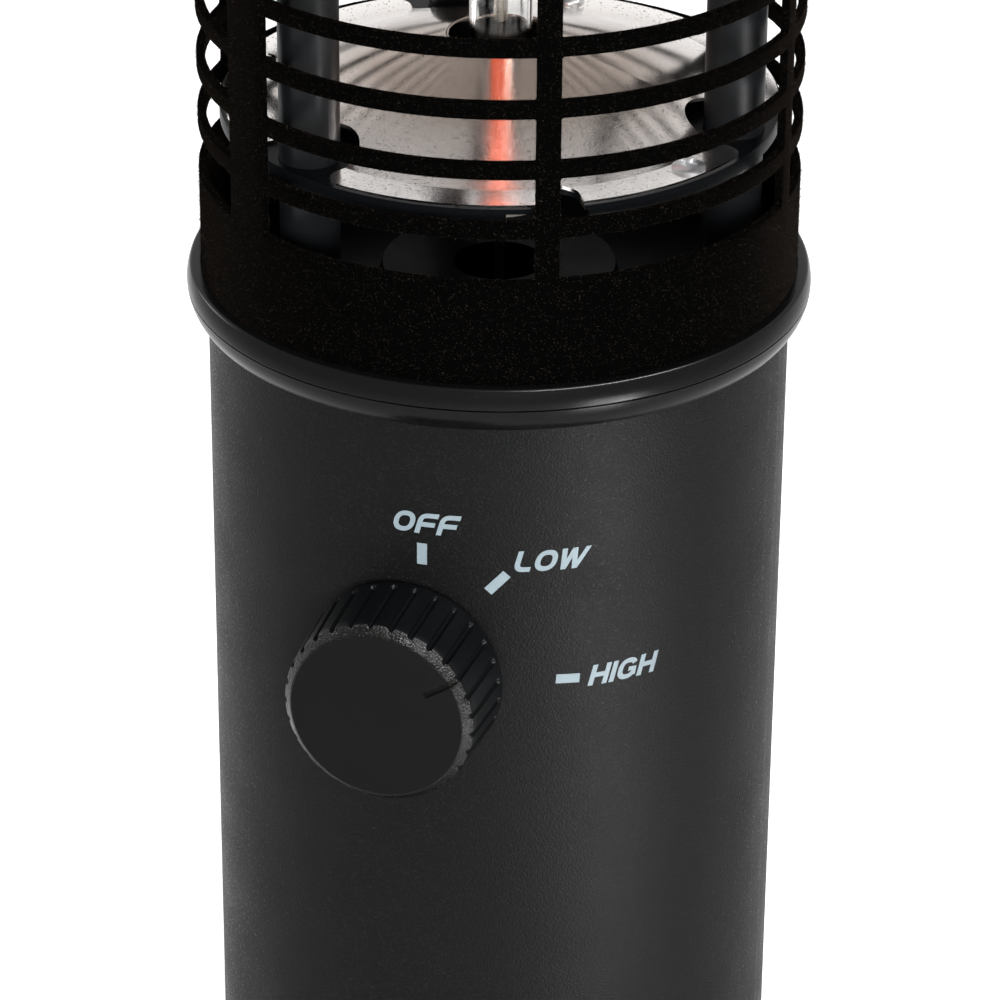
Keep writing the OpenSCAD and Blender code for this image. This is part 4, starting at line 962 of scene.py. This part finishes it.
def makeFloor(s):
    # a diffuse floor that keeps the shadow, with a glow that only seen rays get, so that it reads white
    material, tree, shader = newMaterial("paleFloor", s["floor"])
    fade = addRange(tree, addDistance(tree, (1, 1, 1)), s["glow"], s["reach"])
    feed(tree, addMath(tree, "MULTIPLY", lightPathMask(tree), fade), shader["Emission Strength"])
    # seen from below the floor is clear, so that the underside can be looked at
    clear, split = tree.nodes.new("ShaderNodeBsdfTransparent"), tree.nodes.new("ShaderNodeMixShader")
    facing = tree.nodes.new("ShaderNodeNewGeometry")
    feed(tree, facing.outputs["Backfacing"], split.inputs[0])
    feed(tree, tree.nodes["Principled BSDF"].outputs[0], split.inputs[1])
    feed(tree, clear.outputs[0], split.inputs[2])
    feed(tree, split.outputs[0], tree.nodes["Material Output"].inputs["Surface"])
    ring = np.linspace(0, s["radius"], s["rings"])
    grid = lathe(np.stack([ring, 0 * ring - s["below"]], -1), s["steps"])
    points, quads = joinGrids([grid])
    mesh = bpy.data.meshes.new("paleFloor")
    mesh.from_pydata(points.tolist(), [], quads[:, ::-1].tolist())
    mesh.materials.append(material)
    floor = addObject("paleFloor", mesh)


def makeWorld(s):
    world = bpy.data.worlds.new("studioWorld")
    bpy.context.scene.world = world
    world.use_nodes = True
    backdrop = world.node_tree.nodes["Background"].inputs
    backdrop["Color"].default_value = s["backdrop"]
    feed(world.node_tree, addRange(world.node_tree, lightPathMask(world.node_tree), s["ambient"]),
         backdrop["Strength"])


# lit is whether a box lights matt surfaces, mirrored whether shiny ones show it
softBoxes = {
    "stripBox": {"aim": 0.04, "azimuth": 55, "elevation": 0, "distance": 0.4, "size": (0.12, 0.38),
                 "power": 4.1, "lit": False},
    "fillBox": {"aim": 0.28, "azimuth": 24, "elevation": 14, "distance": 1.0, "size": (0.3, 0.3),
                "power": 13, "mirrored": False},
    "leftBox": {"aim": 0.26, "azimuth": -104, "elevation": 18, "distance": 1.0, "size": (0.3, 0.3),
                "power": 2.5},
    "knobBox": {"aim": 0.2625, "azimuth": 62, "elevation": -20, "distance": 0.5,
                "size": (0.05, 0.05), "power": 0.6, "lit": False},
    "keyBox": {"aim": 0.3, "azimuth": 50, "elevation": 45, "distance": 1.5, "size": (0.5, 0.9),
               "power": 4},
    "rimBox": {"aim": 0.34, "azimuth": 70, "elevation": 58, "distance": 1.5, "size": (1.3, 0.2),
               "power": 110, "lit": False},
    "topBox": {"aim": 0.3, "azimuth": 10, "elevation": 76, "distance": 1.6, "size": (0.9, 0.9),
               "power": 9, "mirrored": False},
}


def makeSoftBox(name, box):
    # aim is the height on the heater's axis that the box looks at
    azimuth, elevation = math.radians(box["azimuth"]), math.radians(box["elevation"])
    lamp = bpy.data.lights.new(name, "AREA")
    lamp.shape = "RECTANGLE"
    lamp.size, lamp.size_y = box["size"]
    lamp.energy = box["power"]
    holder = addObject(name, lamp)
    way = Vector((math.cos(elevation) * math.sin(azimuth), -math.cos(elevation) * math.cos(azimuth),
                  math.sin(elevation)))
    holder.location = Vector((0, 0, box["aim"])) + box["distance"] * way
    holder.rotation_euler = way.to_track_quat("Z", "Y").to_euler()
    holder.visible_camera = False
    holder.visible_glossy = box.get("mirrored", True)
    holder.visible_diffuse = box.get("lit", True)


makeFloor(stage)
makeWorld(stage)
for boxName, box in softBoxes.items():
    makeSoftBox(boxName, box)
bpy.context.scene.view_settings.view_transform = "Standard"
print("stage lit")
